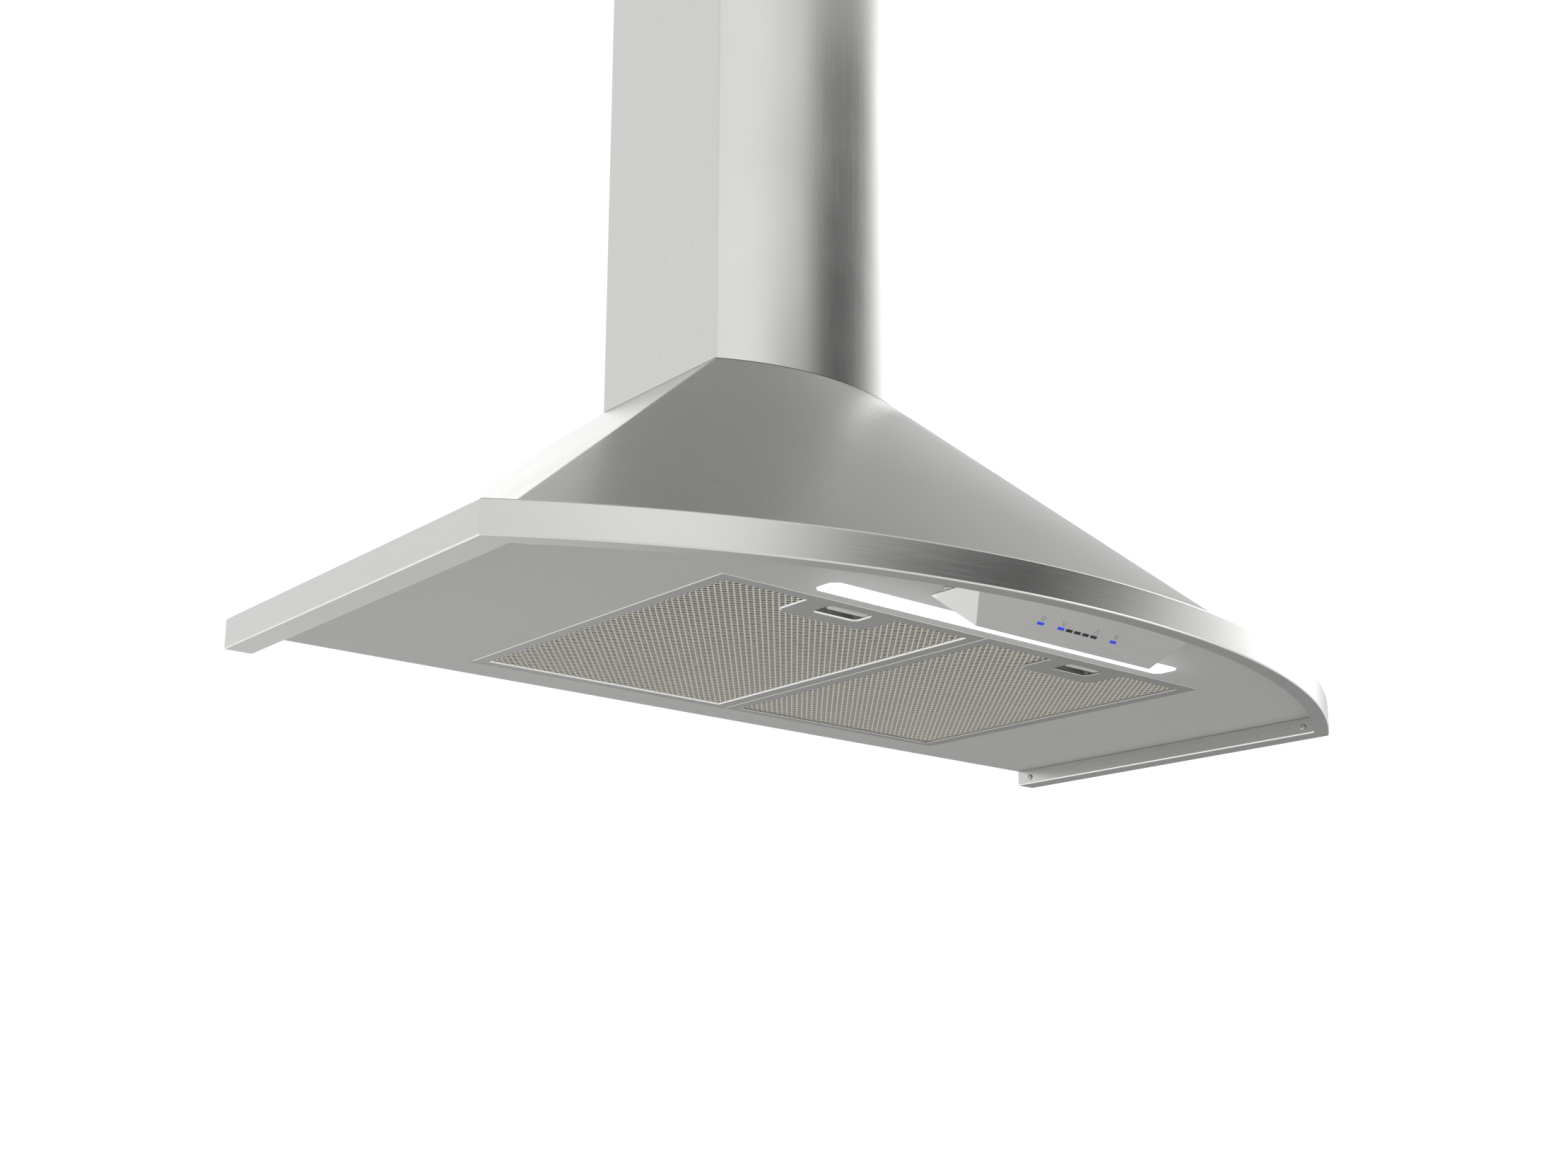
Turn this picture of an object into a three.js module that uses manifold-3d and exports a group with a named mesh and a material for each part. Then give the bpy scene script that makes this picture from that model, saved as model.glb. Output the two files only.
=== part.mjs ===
// Wall-mounted chimney range hood with a bowed front, built as separate named pieces.
// Millimetres, +Z up, the front faces -Y and the wall is the plane y = 0.
// Heights are counted from the underside of the rim; the finished group is then lowered so
// that the origin lies on the wall plane at the hood's hanging line.

import * as THREE from 'three';
import { mergeVertices } from 'three/addons/utils/BufferGeometryUtils.js';
import Module from 'manifold-3d';

const wasm = await Module();
wasm.setup();

// ---------------------------------------------------------------- driving dimensions

const GAP = 0.3;
const SHEET = 1.2;
const PAST = 5;
const HANG_LINE = 200;
const BOW_STEPS = 24;

// A bow outline is a rectangle whose front side is a circular arc.
// half: half its width, side: length of the straight sides, bow: how far the arc stands proud.
const RIM = { half: 450, side: 358.8, bow: 137.6, height: 24.2, ledge: 20 };
const RIM_INSIDE = { half: 427.1, side: 357.7, bow: 126.3 };
const CANOPY_FOOT = { half: 428, side: 350, bow: 136, z: RIM.height + GAP };
const CANOPY_HEAD = { half: 114, side: 161.7, bow: 30.8, z: 276 };
const CANOPY_WALL = 1.5;

const PANEL = { z: 15, over: 8 };
const DECK_TOP = CANOPY_HEAD.z - 0.5;
const BAY = { half: 260.3, front: -355.3, rear: -34.7, wallTop: 30, wallGap: 1.7, lip: 11 };

const FILTER = {
  width: 259.7, front: -354.9, rear: -35.1, depth: 9, border: 12.5, rearBorder: 7.5, mid: 0.2,
};
const GRIP = { width: 88, rear: -307, cupWidth: 42, cupFront: -342, cupRear: -323, cupTop: 23 };
const LATCH = { width: 38, length: 7.6, foot: 0.6, top: 21.4, end: 3, front: 2.4, rear: 2, roof: 1.6 };
const TONGUE = { width: 18, tip: -356.6, sheet: 0.8, slot: 1.8 };

const LIGHT = { half: 190, front: -390, rear: -366, corner: 5, lip: 3.6, proud: 0.2, boxTop: 32 };
const STRIP = { end: 12, half: 6, sheet: 1.6, chips: 16, chipHalf: 2.5, chipSide: 1.5, chipDrop: 1 };
const CONTROL = {
  half: 117.5, front: -457, rear: -409, ridgeHalf: 95.4, ridgeY: -431, ridgeZ: -8, wall: 1.5, cut: 8,
};
const CONTROL_BOARD = { xs: [-70, 70], alongs: [7, 24], depths: [-5, -3.4] };
const BAR = { length: 7, width: 2.5, depth: 1.9, proud: 0.15, reach: 10.5, slack: 0.25, cut: 3 };
const BAR_PLACES = {
  power_indicator: -40, fan_bar_1: -18, fan_bar_2: -9, fan_bar_3: 0, fan_bar_4: 9, fan_bar_5: 18,
  light_indicator: 40,
};

const BLOWER = { y: -86, z: 150, half: 75, wall: 2, small: 76, grow: 14, front: -176, rear: -40 };
const DRUM = {
  radius: 64, inner: 52, half: 64, ring: 3, ringInner: 56, blades: 28, blade: 1.2, lean: 0.6,
  plate: 3, plateRadius: 63.5, hub: 12, hubEnd: 12,
};
const INLET = 52;
const INLET_PROFILE = [[INLET, 0], [66, 0], [66, 1.2], [INLET + 5, 2], [INLET + 2, 4], [INLET, 4]];
const MOTOR = { radius: 42, near: -8, far: -66, shaft: 4, shaftEnd: 14, boss: 30, bossEnd: -5 };
const SPIDER = { out: 66, sheet: 2, arm: 12, armIn: 8, armOut: 64, pad: 20, post: 12 };
const BLOWER_ANGLE = { xs: [38, 62], sheet: 2, zs: [105, 195], armZs: [140, 142], armGap: 4 };
const CAPACITOR = { radius: 17, xs: [96, 150], y: -150, z: 62, stud: 5, studXs: [90, 98] };

const COLLAR = { y: -104, radius: 75, wall: 1.5, flange: 82, height: 40, bore: 72 };
const DAMPER = { lift: 14, radius: 71, sheet: 1.2, pin: 2, knuckle: 3.7, root: 4.6, web: 2.6 };
const KNUCKLES = { front: [[-60, -36], [2, 26]], rear: [[-34, -4], [28, 60]] };

const LOWER_COVER = { ...CANOPY_HEAD, foot: CANOPY_HEAD.z + GAP, top: 726, wall: 1, hem: 15 };
const UPPER_COVER = { nest: 2.2, foot: 290, top: 738, wall: 1, hem: 15, hemY: -2.5 };

const SCREW = { head: 2.8, headDepth: 1.5, shank: 1.4, hole: 1.7, length: 6, socket: 1.1 };
const RIM_SCREW = { ys: { front: -347, rear: -16 }, z: 7 };
const CONTROL_SCREW_X = 122;
const COVER_BRACKET = { half: 92, sheet: 1.5, ear: 26, zs: [690, 716], holeX: 60, hole: 3 };
const JUNCTION = { xs: [150, 236], ys: [-58, -4], zs: [44, 96], wall: 2, entry: 6.4 };
const GLAND = { x: 193, y: -30, nut: 10, nutTop: 5, cap: 8, capTop: 14, thread: 6, under: 8, bore: 4 };
const DRIVER = { xs: [-250, -160], ys: [-62, -18], zs: [44, 70], ear: 12, earInset: 10, earSheet: 2 };
const HANGER = { x: 200, z: 130, hole: 4.5, width: 60, height: 44, sheet: 2.5 };

// ---------------------------------------------------------------- finishes

const finish = (color, roughness, metalness, extra = {}) => ({ color, roughness, metalness, ...extra });
const BRUSHED = finish(0xb9b9b5, 0.35, 1);
const PANEL_STEEL = finish(0x9c9c99, 0.5, 0.9);
const ALUMINIUM = finish(0xb8b5a8, 0.45, 1);
const GALVANISED = finish(0xa6abae, 0.55, 0.9);
const BLACK_PLASTIC = finish(0x1d1e20, 0.6, 0);
const GREY_PLASTIC = finish(0x6b6e70, 0.6, 0);
const BLUE_BAR = finish(0x1531d8, 0.4, 0, { emissive: 0x1531d8 });
const DARK_BAR = finish(0x0b0b0c, 0.3, 0);
const OPAL = finish(0xffffff, 0.4, 0, { emissive: 0xffffff });
const BOARD_GREEN = finish(0x1f5a36, 0.5, 0);
const MOTOR_STEEL = finish(0x5d6063, 0.5, 0.8);
const SCREW_STEEL = finish(0xc4c4c0, 0.3, 1);

// ---------------------------------------------------------------- solids

/** A solid from a closed geometry. */
function solid(geometry) {
  geometry.deleteAttribute('normal');
  geometry.deleteAttribute('uv');
  const merged = mergeVertices(geometry, 1e-5);
  const mesh = new wasm.Mesh({
    numProp: 3,
    vertProperties: new Float32Array(merged.attributes.position.array),
    triVerts: new Uint32Array(merged.index.array),
  });
  return new wasm.Manifold(mesh);
}

/** A geometry from a solid. */
function surface(body) {
  const mesh = body.getMesh();
  const geometry = new THREE.BufferGeometry();
  geometry.setAttribute('position', new THREE.BufferAttribute(mesh.vertProperties, 3));
  geometry.setIndex(new THREE.BufferAttribute(mesh.triVerts, 1));
  geometry.computeVertexNormals();
  return geometry;
}

/** A box between two limits on each axis. */
function box([x0, x1], [y0, y1], [z0, z1]) {
  const geometry = new THREE.BoxGeometry(x1 - x0, y1 - y0, z1 - z0);
  geometry.translate((x0 + x1) / 2, (y0 + y1) / 2, (z0 + z1) / 2);
  return solid(geometry);
}

/** A plate with the given outline in plan, between two heights. */
function plate(points, z0, z1) {
  const geometry = new THREE.ExtrudeGeometry(new THREE.Shape(points), {
    depth: z1 - z0,
    bevelEnabled: false,
  });
  geometry.translate(0, 0, z0);
  return solid(geometry);
}

/** A plate whose outline is given in the Y-Z plane, between two places along X. */
function sidePlate(points, x0, x1) {
  const geometry = new THREE.ExtrudeGeometry(new THREE.Shape(points), {
    depth: x1 - x0,
    bevelEnabled: false,
  });
  geometry.applyMatrix4(new THREE.Matrix4().set(0, 0, 1, x0, 1, 0, 0, 0, 0, 1, 0, 0, 0, 0, 0, 1));
  return solid(geometry);
}

/** A plate whose outline is given in the X-Z plane, between two depths. */
function wallPlate(points, y0, y1) {
  const geometry = new THREE.ExtrudeGeometry(new THREE.Shape(points), {
    depth: y1 - y0,
    bevelEnabled: false,
  });
  geometry.applyMatrix4(new THREE.Matrix4().set(1, 0, 0, 0, 0, 0, -1, y1, 0, 1, 0, 0, 0, 0, 0, 1));
  return solid(geometry);
}

/** A round rod along an axis ('x', 'y' or 'z') from one place on it to another. */
function rod(axis, radius, from, to, [x, y, z], sides = 24) {
  const geometry = new THREE.CylinderGeometry(radius, radius, to - from, sides);
  const middle = (from + to) / 2;
  if (axis === 'x') {
    geometry.rotateZ(-Math.PI / 2);
    geometry.translate(middle, y, z);
  } else if (axis === 'y') {
    geometry.translate(x, middle, z);
  } else {
    geometry.rotateX(Math.PI / 2);
    geometry.translate(x, y, middle);
  }
  return solid(geometry);
}

/** The points of a bow outline, from the left rear corner round the front. */
function bow({ half, side, bow: rise }, rear = 0) {
  const radius = (half * half + rise * rise) / (2 * rise);
  const centre = radius - side - rise;
  const reach = Math.asin(half / radius);
  const points = [new THREE.Vector2(-half, rear)];
  for (let i = 0; i <= BOW_STEPS; i += 1) {
    const angle = reach * ((2 * i) / BOW_STEPS - 1);
    points.push(new THREE.Vector2(radius * Math.sin(angle), centre - radius * Math.cos(angle)));
  }
  points.push(new THREE.Vector2(half, rear));
  return points;
}

/** A bow outline's sizes with its sides and front moved in by a distance. */
function inset({ half, side, bow: rise }, distance) {
  const radius = (half * half + rise * rise) / (2 * rise);
  const centre = radius - side - rise;
  const smaller = radius - distance;
  const fall = Math.sqrt(smaller * smaller - (half - distance) ** 2);
  return { half: half - distance, side: fall - centre, bow: smaller - fall };
}

/** A straight-sided solid between two outlines with as many points as each other. */
function loft(lower, z0, upper, z1) {
  const count = lower.length;
  const positions = [];
  const index = [];
  lower.forEach((p) => positions.push(p.x, p.y, z0));
  upper.forEach((p) => positions.push(p.x, p.y, z1));
  for (let i = 0; i < count; i += 1) {
    const j = (i + 1) % count;
    index.push(i, j, count + j, i, count + j, count + i);
  }
  THREE.ShapeUtils.triangulateShape(lower, []).forEach(([a, b, c]) => index.push(a, c, b));
  THREE.ShapeUtils.triangulateShape(upper, []).forEach(([a, b, c]) => {
    index.push(count + a, count + b, count + c);
  });
  const geometry = new THREE.BufferGeometry();
  geometry.setAttribute('position', new THREE.Float32BufferAttribute(positions, 3));
  geometry.setIndex(index);
  return solid(geometry);
}

/** The outline that a loft between two outlines reaches at another height. */
function between(lower, z0, upper, z1, z) {
  const share = (z - z0) / (z1 - z0);
  return lower.map((p, i) => p.clone().lerp(upper[i], share));
}

/** The four corners of a rectangle, counter-clockwise. */
function rectangle(x0, x1, y0, y1) {
  return [[x0, y0], [x1, y0], [x1, y1], [x0, y1]].map(([x, y]) => new THREE.Vector2(x, y));
}

/** A rectangle with its corners cut off. */
function chamfered(x0, x1, y0, y1, cut) {
  return [
    [x0 + cut, y0], [x1 - cut, y0], [x1, y0 + cut], [x1, y1 - cut],
    [x1 - cut, y1], [x0 + cut, y1], [x0, y1 - cut], [x0, y0 + cut],
  ].map(([x, y]) => new THREE.Vector2(x, y));
}

/** A box with a box-shaped hollow. */
function tray(outer, inner) {
  return box(...outer).subtract(box(...inner));
}

// ---------------------------------------------------------------- the assembly

const hood = new THREE.Group();
hood.position.z = -HANG_LINE;

function add(name, body, look) {
  const mesh = new THREE.Mesh(surface(body), new THREE.MeshStandardMaterial(look));
  mesh.name = name;
  hood.add(mesh);
}

// ---------------------------------------------------------------- rim, canopy and panel

/** Folded band round three sides: face, underside flange, inner wall and top ledge. */
function rimBand() {
  const cut = (outline, z0, z1) => plate(bow(outline, PAST), z0, z1);
  let band = plate(bow(RIM), 0, RIM.height)
    .subtract(cut(inset(RIM, SHEET), SHEET, RIM.height - SHEET))
    .subtract(cut(RIM_INSIDE, -PAST, 2 * SHEET))
    .subtract(cut(inset(RIM_INSIDE, RIM.ledge), RIM.height - 2 * SHEET, RIM.height + PAST));
  band = band.add(
    plate(bow(inset(RIM_INSIDE, -SHEET)), 0, PANEL.z - GAP).subtract(cut(RIM_INSIDE, -PAST, RIM.height)),
  );
  Object.values(RIM_SCREW.ys).forEach((y) => {
    band = band.subtract(rod('x', SCREW.hole, -RIM.half + 10, RIM.half - 10, [0, y, RIM_SCREW.z], 12));
  });
  return band;
}

/** Sloping sheet from the rim up to the duct cover, open at the top, bottom and wall. */
function canopyShell() {
  const foot = bow(CANOPY_FOOT);
  const head = bow(CANOPY_HEAD);
  const innerFoot = bow(inset(CANOPY_FOOT, CANOPY_WALL), PAST);
  const innerHead = bow(inset(CANOPY_HEAD, CANOPY_WALL), PAST);
  const reach = (z) => between(innerFoot, CANOPY_FOOT.z, innerHead, CANOPY_HEAD.z, z);
  const low = CANOPY_FOOT.z - 1;
  const high = CANOPY_HEAD.z + 1;
  return loft(foot, CANOPY_FOOT.z, head, CANOPY_HEAD.z).subtract(loft(reach(low), low, reach(high), high));
}

/** Half the clear width between the canopy's side sheets at a height. */
function clearHalf(z) {
  const share = (z - CANOPY_FOOT.z) / (CANOPY_HEAD.z - CANOPY_FOOT.z);
  return THREE.MathUtils.lerp(CANOPY_FOOT.half, CANOPY_HEAD.half, share) - CANOPY_WALL - 2 * GAP;
}

/** Sheet across the back between the canopy's sides, with the two holes it hangs by. */
function backPlate() {
  const foot = PANEL.z + SHEET + GAP;
  const step = RIM_INSIDE.half - RIM.ledge - PAST;
  const low = CANOPY_FOOT.z;
  const high = DECK_TOP - SHEET - GAP;
  const points = [
    [-step, foot], [step, foot], [step, low], [clearHalf(low), low], [clearHalf(high), high],
    [-clearHalf(high), high], [-clearHalf(low), low], [-step, low],
  ].map(([x, z]) => new THREE.Vector2(x, z));
  let sheet = wallPlate(points, -CANOPY_WALL, 0);
  [-1, 1].forEach((s) => {
    sheet = sheet.subtract(rod('y', HANGER.hole, -PAST, PAST, [s * HANGER.x, 0, HANGER.z], 20));
  });
  return sheet;
}

/** Stiffening plate behind the back sheet round one hanging hole. */
function hangerPlate(s) {
  const x = s * HANGER.x;
  const outer = box(
    [x - HANGER.width / 2, x + HANGER.width / 2],
    [-CANOPY_WALL - GAP - HANGER.sheet, -CANOPY_WALL - GAP],
    [HANGER.z - HANGER.height / 2, HANGER.z + HANGER.height / 2],
  );
  return outer.subtract(rod('y', HANGER.hole, -2 * PAST, PAST, [x, 0, HANGER.z], 20));
}

/** Flat top of the canopy with the round way out for the air. */
function topDeck() {
  return plate(bow(inset(CANOPY_HEAD, CANOPY_WALL + GAP), -CANOPY_WALL - GAP), DECK_TOP - SHEET, DECK_TOP)
    .subtract(rod('z', COLLAR.bore, 0, RIM.half, [0, COLLAR.y, 0], 48));
}

/** Underside panel with the filter bay, the light slot and the control cut-out. */
function undersidePanel() {
  const through = [PANEL.z - PAST, PANEL.z + SHEET + PAST];
  let sheet = plate(bow(inset(RIM_INSIDE, -PANEL.over)), PANEL.z, PANEL.z + SHEET)
    .subtract(box([-BAY.half, BAY.half], [BAY.front, BAY.rear], through))
    .subtract(plate(
      chamfered(-LIGHT.half, LIGHT.half, LIGHT.front, LIGHT.rear, LIGHT.corner),
      ...through,
    ))
    .subtract(box(
      [-CONTROL.half + CONTROL.cut, CONTROL.half - CONTROL.cut],
      [CONTROL.front + CONTROL.cut, CONTROL.rear - CONTROL.cut],
      through,
    ));
  [-1, 1].forEach((s) => {
    const place = [s * CONTROL_SCREW_X, CONTROL.ridgeY, 0];
    sheet = sheet.subtract(rod('z', SCREW.hole, ...through, place, 12));
  });
  return sheet;
}

/** Upstanding frame round the filter bay, with lips that lie on the panel. */
function bayFrame() {
  const foot = PANEL.z + SHEET + GAP;
  const g = BAY.wallGap;
  const ring = tray(
    [
      [-BAY.half - g - SHEET, BAY.half + g + SHEET],
      [BAY.front - g - SHEET, BAY.rear + g + SHEET],
      [foot, BAY.wallTop],
    ],
    [[-BAY.half - g, BAY.half + g], [BAY.front - g, BAY.rear + g], [0, 2 * BAY.wallTop]],
  );
  const lip = tray(
    [
      [-BAY.half - BAY.lip, BAY.half + BAY.lip],
      [BAY.front - g - SHEET, BAY.rear + BAY.lip],
      [foot, foot + SHEET],
    ],
    [[-BAY.half - g, BAY.half + g], [BAY.front - g, BAY.rear + g], [0, 2 * BAY.wallTop]],
  );
  return ring.add(lip);
}

// ---------------------------------------------------------------- grease filters

/** The middle of a filter's width; s is -1 for the left one and 1 for the right one. */
const filterMiddle = (s) => s * (FILTER.mid + FILTER.width / 2);

/** Slot that lets the latch tongue through the filter's front wall. */
function tongueSlot(s) {
  const x = filterMiddle(s);
  const half = TONGUE.width / 2 + GAP;
  const z = PANEL.z + SHEET;
  return box([x - half, x + half], [FILTER.front - PAST, GRIP.cupFront + 1], [z, z + TONGUE.slot]);
}

/** Channel frame of a filter with its grip plate and the finger cup. */
function filterFrame(s) {
  const x = filterMiddle(s);
  const low = PANEL.z;
  const high = low + FILTER.depth;
  const xs = [x - FILTER.width / 2, x + FILTER.width / 2];
  const ys = [FILTER.front, FILTER.rear];
  const shrink = ([a, b], by) => [a + by, b - by];
  const cup = [x - GRIP.cupWidth / 2, x + GRIP.cupWidth / 2];
  const cupYs = [GRIP.cupFront, GRIP.cupRear];
  const grip = [x - GRIP.width / 2, x + GRIP.width / 2];
  const clear = [FILTER.front + FILTER.border, FILTER.rear - FILTER.rearBorder];
  return tray([xs, ys, [low, high]], [shrink(xs, FILTER.border), clear, [0, 2 * high]])
    .subtract(box(shrink(xs, SHEET), shrink(ys, SHEET), [low + SHEET, high - SHEET]))
    .add(box(grip, [FILTER.front + SHEET, GRIP.rear], [low, low + SHEET]))
    .add(box(shrink(cup, -SHEET), shrink(cupYs, -SHEET), [low, GRIP.cupTop]))
    .subtract(box(cup, cupYs, [low - 1, GRIP.cupTop - SHEET]))
    .subtract(tongueSlot(s));
}

/** Pack of perforated aluminium sheets held in the frame's channel. */
function filterPack(s) {
  const x = filterMiddle(s);
  const slack = SHEET + GAP;
  const cupHalf = GRIP.cupWidth / 2 + slack;
  const notch = box(
    [x - cupHalf, x + cupHalf],
    [FILTER.front - PAST, GRIP.cupRear + slack],
    [0, 2 * RIM.height],
  );
  return box(
    [x - FILTER.width / 2 + slack, x + FILTER.width / 2 - slack],
    [FILTER.front + slack, FILTER.rear - slack],
    [PANEL.z + slack, PANEL.z + FILTER.depth - slack],
  ).subtract(notch);
}

/** Sliding finger pull in the cup, with a hollow for the fingertip. */
function latchPull(s) {
  const x = filterMiddle(s);
  const front = GRIP.cupFront + GAP;
  const rear = front + LATCH.length;
  const xs = [x - LATCH.width / 2, x + LATCH.width / 2];
  const hollow = box(
    [xs[0] + LATCH.end, xs[1] - LATCH.end],
    [front + LATCH.front, rear - LATCH.rear],
    [0, LATCH.top - LATCH.roof],
  );
  return box(xs, [front, rear], [PANEL.z + LATCH.foot, LATCH.top]).subtract(hollow);
}

/** Spring steel tongue that snaps over the panel's edge and holds the filter up. */
function latchTongue(s) {
  const x = filterMiddle(s);
  const z = PANEL.z + SHEET + GAP;
  const half = TONGUE.width / 2;
  return box([x - half, x + half], [TONGUE.tip, GRIP.cupFront], [z, z + TONGUE.sheet]);
}

// ---------------------------------------------------------------- light bar

/** Diffuser that fills the slot and rests on the panel by its lip. */
function lightLens() {
  const seat = PANEL.z + SHEET + GAP;
  const inner = chamfered(
    -LIGHT.half + GAP, LIGHT.half - GAP, LIGHT.front + GAP, LIGHT.rear - GAP, LIGHT.corner,
  );
  const lip = rectangle(
    -LIGHT.half - LIGHT.lip, LIGHT.half + LIGHT.lip, LIGHT.front - LIGHT.lip, LIGHT.rear + LIGHT.lip,
  );
  return plate(inner, PANEL.z - LIGHT.proud, seat + SHEET).add(plate(lip, seat, seat + SHEET));
}

/** Folded tray over the diffuser. */
function lightTray() {
  const foot = PANEL.z + 2 * (SHEET + GAP);
  const edge = LIGHT.lip + SHEET;
  const outer = [[-LIGHT.half - edge, LIGHT.half + edge], [LIGHT.front - edge, LIGHT.rear + edge]];
  const inner = outer.map(([a, b]) => [a + SHEET, b - SHEET]);
  return tray([...outer, [foot, LIGHT.boxTop]], [...inner, [0, LIGHT.boxTop - SHEET]]);
}

/** Board with a row of light chips below it. */
function ledStrip() {
  const y = (LIGHT.front + LIGHT.rear) / 2;
  const top = LIGHT.boxTop - SHEET - GAP;
  const half = LIGHT.half - STRIP.end;
  const foot = top - STRIP.sheet;
  let strip = box([-half, half], [y - STRIP.half, y + STRIP.half], [foot, top]);
  for (let i = 0; i < STRIP.chips; i += 1) {
    const x = half * ((2 * i + 1) / STRIP.chips - 1);
    strip = strip.add(box(
      [x - STRIP.chipHalf, x + STRIP.chipHalf],
      [y - STRIP.chipSide, y + STRIP.chipSide],
      [foot - STRIP.chipDrop, foot + STRIP.sheet / 2],
    ));
  }
  return strip;
}

// ---------------------------------------------------------------- control housing

const RIDGE_FLAT = 0.6;
const FACE_RUN = CONTROL.ridgeY - RIDGE_FLAT / 2 - CONTROL.front;
const FACE_RISE = PANEL.z - CONTROL.ridgeZ;
const FACE_TILT = Math.atan2(FACE_RISE, FACE_RUN);

/** Hip-ended wedge below the panel, moved in by a distance on every face. */
function wedge(distance, top) {
  const base = rectangle(
    -CONTROL.half + distance, CONTROL.half - distance, CONTROL.front + distance, CONTROL.rear - distance,
  );
  const ridge = rectangle(
    -CONTROL.ridgeHalf, CONTROL.ridgeHalf,
    CONTROL.ridgeY - RIDGE_FLAT / 2, CONTROL.ridgeY + RIDGE_FLAT / 2,
  );
  const low = CONTROL.ridgeZ + distance;
  return loft(ridge, low, between(ridge, low, base, PANEL.z, top), top);
}

/** A box in the plane of the wedge's front face; along is counted up the face from the ridge. */
function onFace([x0, x1], [along0, along1], [out0, out1]) {
  const geometry = new THREE.BoxGeometry(x1 - x0, along1 - along0, out1 - out0);
  geometry.translate((x0 + x1) / 2, -(along0 + along1) / 2, -(out0 + out1) / 2);
  geometry.rotateX(-FACE_TILT);
  geometry.translate(0, CONTROL.ridgeY - RIDGE_FLAT / 2, CONTROL.ridgeZ);
  return solid(geometry);
}

/** Where a row of indicator bars lies along the front face. */
const BAR_ALONG = BAR.reach / Math.cos(FACE_TILT);

function indicatorBar(x, clearance = 0, depth = BAR.depth) {
  const halfLength = BAR.length / 2 + clearance;
  const halfWidth = BAR.width / 2 + clearance;
  return onFace(
    [x - halfLength, x + halfLength],
    [BAR_ALONG - halfWidth, BAR_ALONG + halfWidth],
    [-depth, BAR.proud + 2 * clearance],
  );
}

function controlHousing() {
  let shell = wedge(0, PANEL.z - GAP).subtract(wedge(CONTROL.wall, PANEL.z + 1));
  Object.values(BAR_PLACES).forEach((x) => {
    shell = shell.subtract(indicatorBar(x, BAR.slack, BAR.cut));
  });
  return shell;
}

function controlBoard() {
  return onFace(CONTROL_BOARD.xs, CONTROL_BOARD.alongs, CONTROL_BOARD.depths);
}

// ---------------------------------------------------------------- blower

/** Side outline of the scroll and its outlet, moved in by a distance. */
function scrollOutline(distance) {
  const points = [];
  const steps = 28;
  const start = Math.PI / 3;
  const sweep = (Math.PI * 4) / 3;
  for (let i = 0; i <= steps; i += 1) {
    const share = i / steps;
    const angle = start - sweep * share;
    const r = BLOWER.small + BLOWER.grow * share - distance;
    points.push(new THREE.Vector2(BLOWER.y + r * Math.cos(angle), BLOWER.z + r * Math.sin(angle)));
  }
  const top = distance > 0 ? CANOPY_HEAD.z + PAST : DECK_TOP - SHEET - GAP;
  points.push(new THREE.Vector2(BLOWER.front + distance, top));
  points.push(new THREE.Vector2(BLOWER.rear - distance, top));
  return points.reverse();
}

/** One half of the scroll casing, with its round inlet. */
function scrollHalf(s) {
  const seam = GAP / 2;
  const span = (a, b) => (s < 0 ? [-b, -a] : [a, b]);
  return sidePlate(scrollOutline(0), ...span(seam, BLOWER.half))
    .subtract(sidePlate(scrollOutline(BLOWER.wall), ...span(-PAST, BLOWER.half - BLOWER.wall)))
    .subtract(rod('x', INLET, ...span(0, BLOWER.half + PAST), [0, BLOWER.y, BLOWER.z], 40));
}

const axle = [0, BLOWER.y, BLOWER.z];

/** Rolled-edge ring round an inlet, with three arms to the motor on the motor's side. */
function motorBracket() {
  const near = -BLOWER.half - GAP;
  const far = near - SPIDER.sheet;
  let frame = rod('x', SPIDER.out, far, near, axle, 40)
    .subtract(rod('x', INLET, far - 1, near + 1, axle, 40));
  for (let i = 0; i < 3; i += 1) {
    const arm = new THREE.BoxGeometry(SPIDER.sheet, SPIDER.arm, SPIDER.armOut - SPIDER.armIn);
    arm.translate(0, 0, (SPIDER.armOut + SPIDER.armIn) / 2);
    arm.rotateX((2 * Math.PI * i) / 3 + Math.PI / 6);
    arm.translate((near + far) / 2, BLOWER.y, BLOWER.z);
    frame = frame.add(solid(arm));
  }
  return frame
    .add(rod('x', SPIDER.pad, far, near, axle, 24))
    .add(rod('x', SPIDER.post, near - 1, MOTOR.far - GAP, axle, 24))
    .subtract(rod('x', MOTOR.shaft + GAP, far - 1, near + PAST * 3, axle, 16));
}

function inletRing() {
  const near = BLOWER.half + GAP;
  const points = INLET_PROFILE.map(([r, h]) => new THREE.Vector2(r, h));
  points.push(points[0].clone());
  const geometry = new THREE.LatheGeometry(points, 40);
  geometry.rotateZ(-Math.PI / 2);
  geometry.translate(near, BLOWER.y, BLOWER.z);
  return solid(geometry);
}

function motorBody() {
  return rod('x', MOTOR.radius, MOTOR.far, MOTOR.near, axle, 32)
    .add(rod('x', MOTOR.boss, MOTOR.near - 1, MOTOR.bossEnd, axle, 32))
    .subtract(rod('x', MOTOR.shaft + GAP, -BLOWER.half, BLOWER.half, axle, 16));
}

function motorShaft() {
  return rod('x', MOTOR.shaft, -BLOWER.half + 3, MOTOR.shaftEnd, axle, 16);
}

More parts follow.
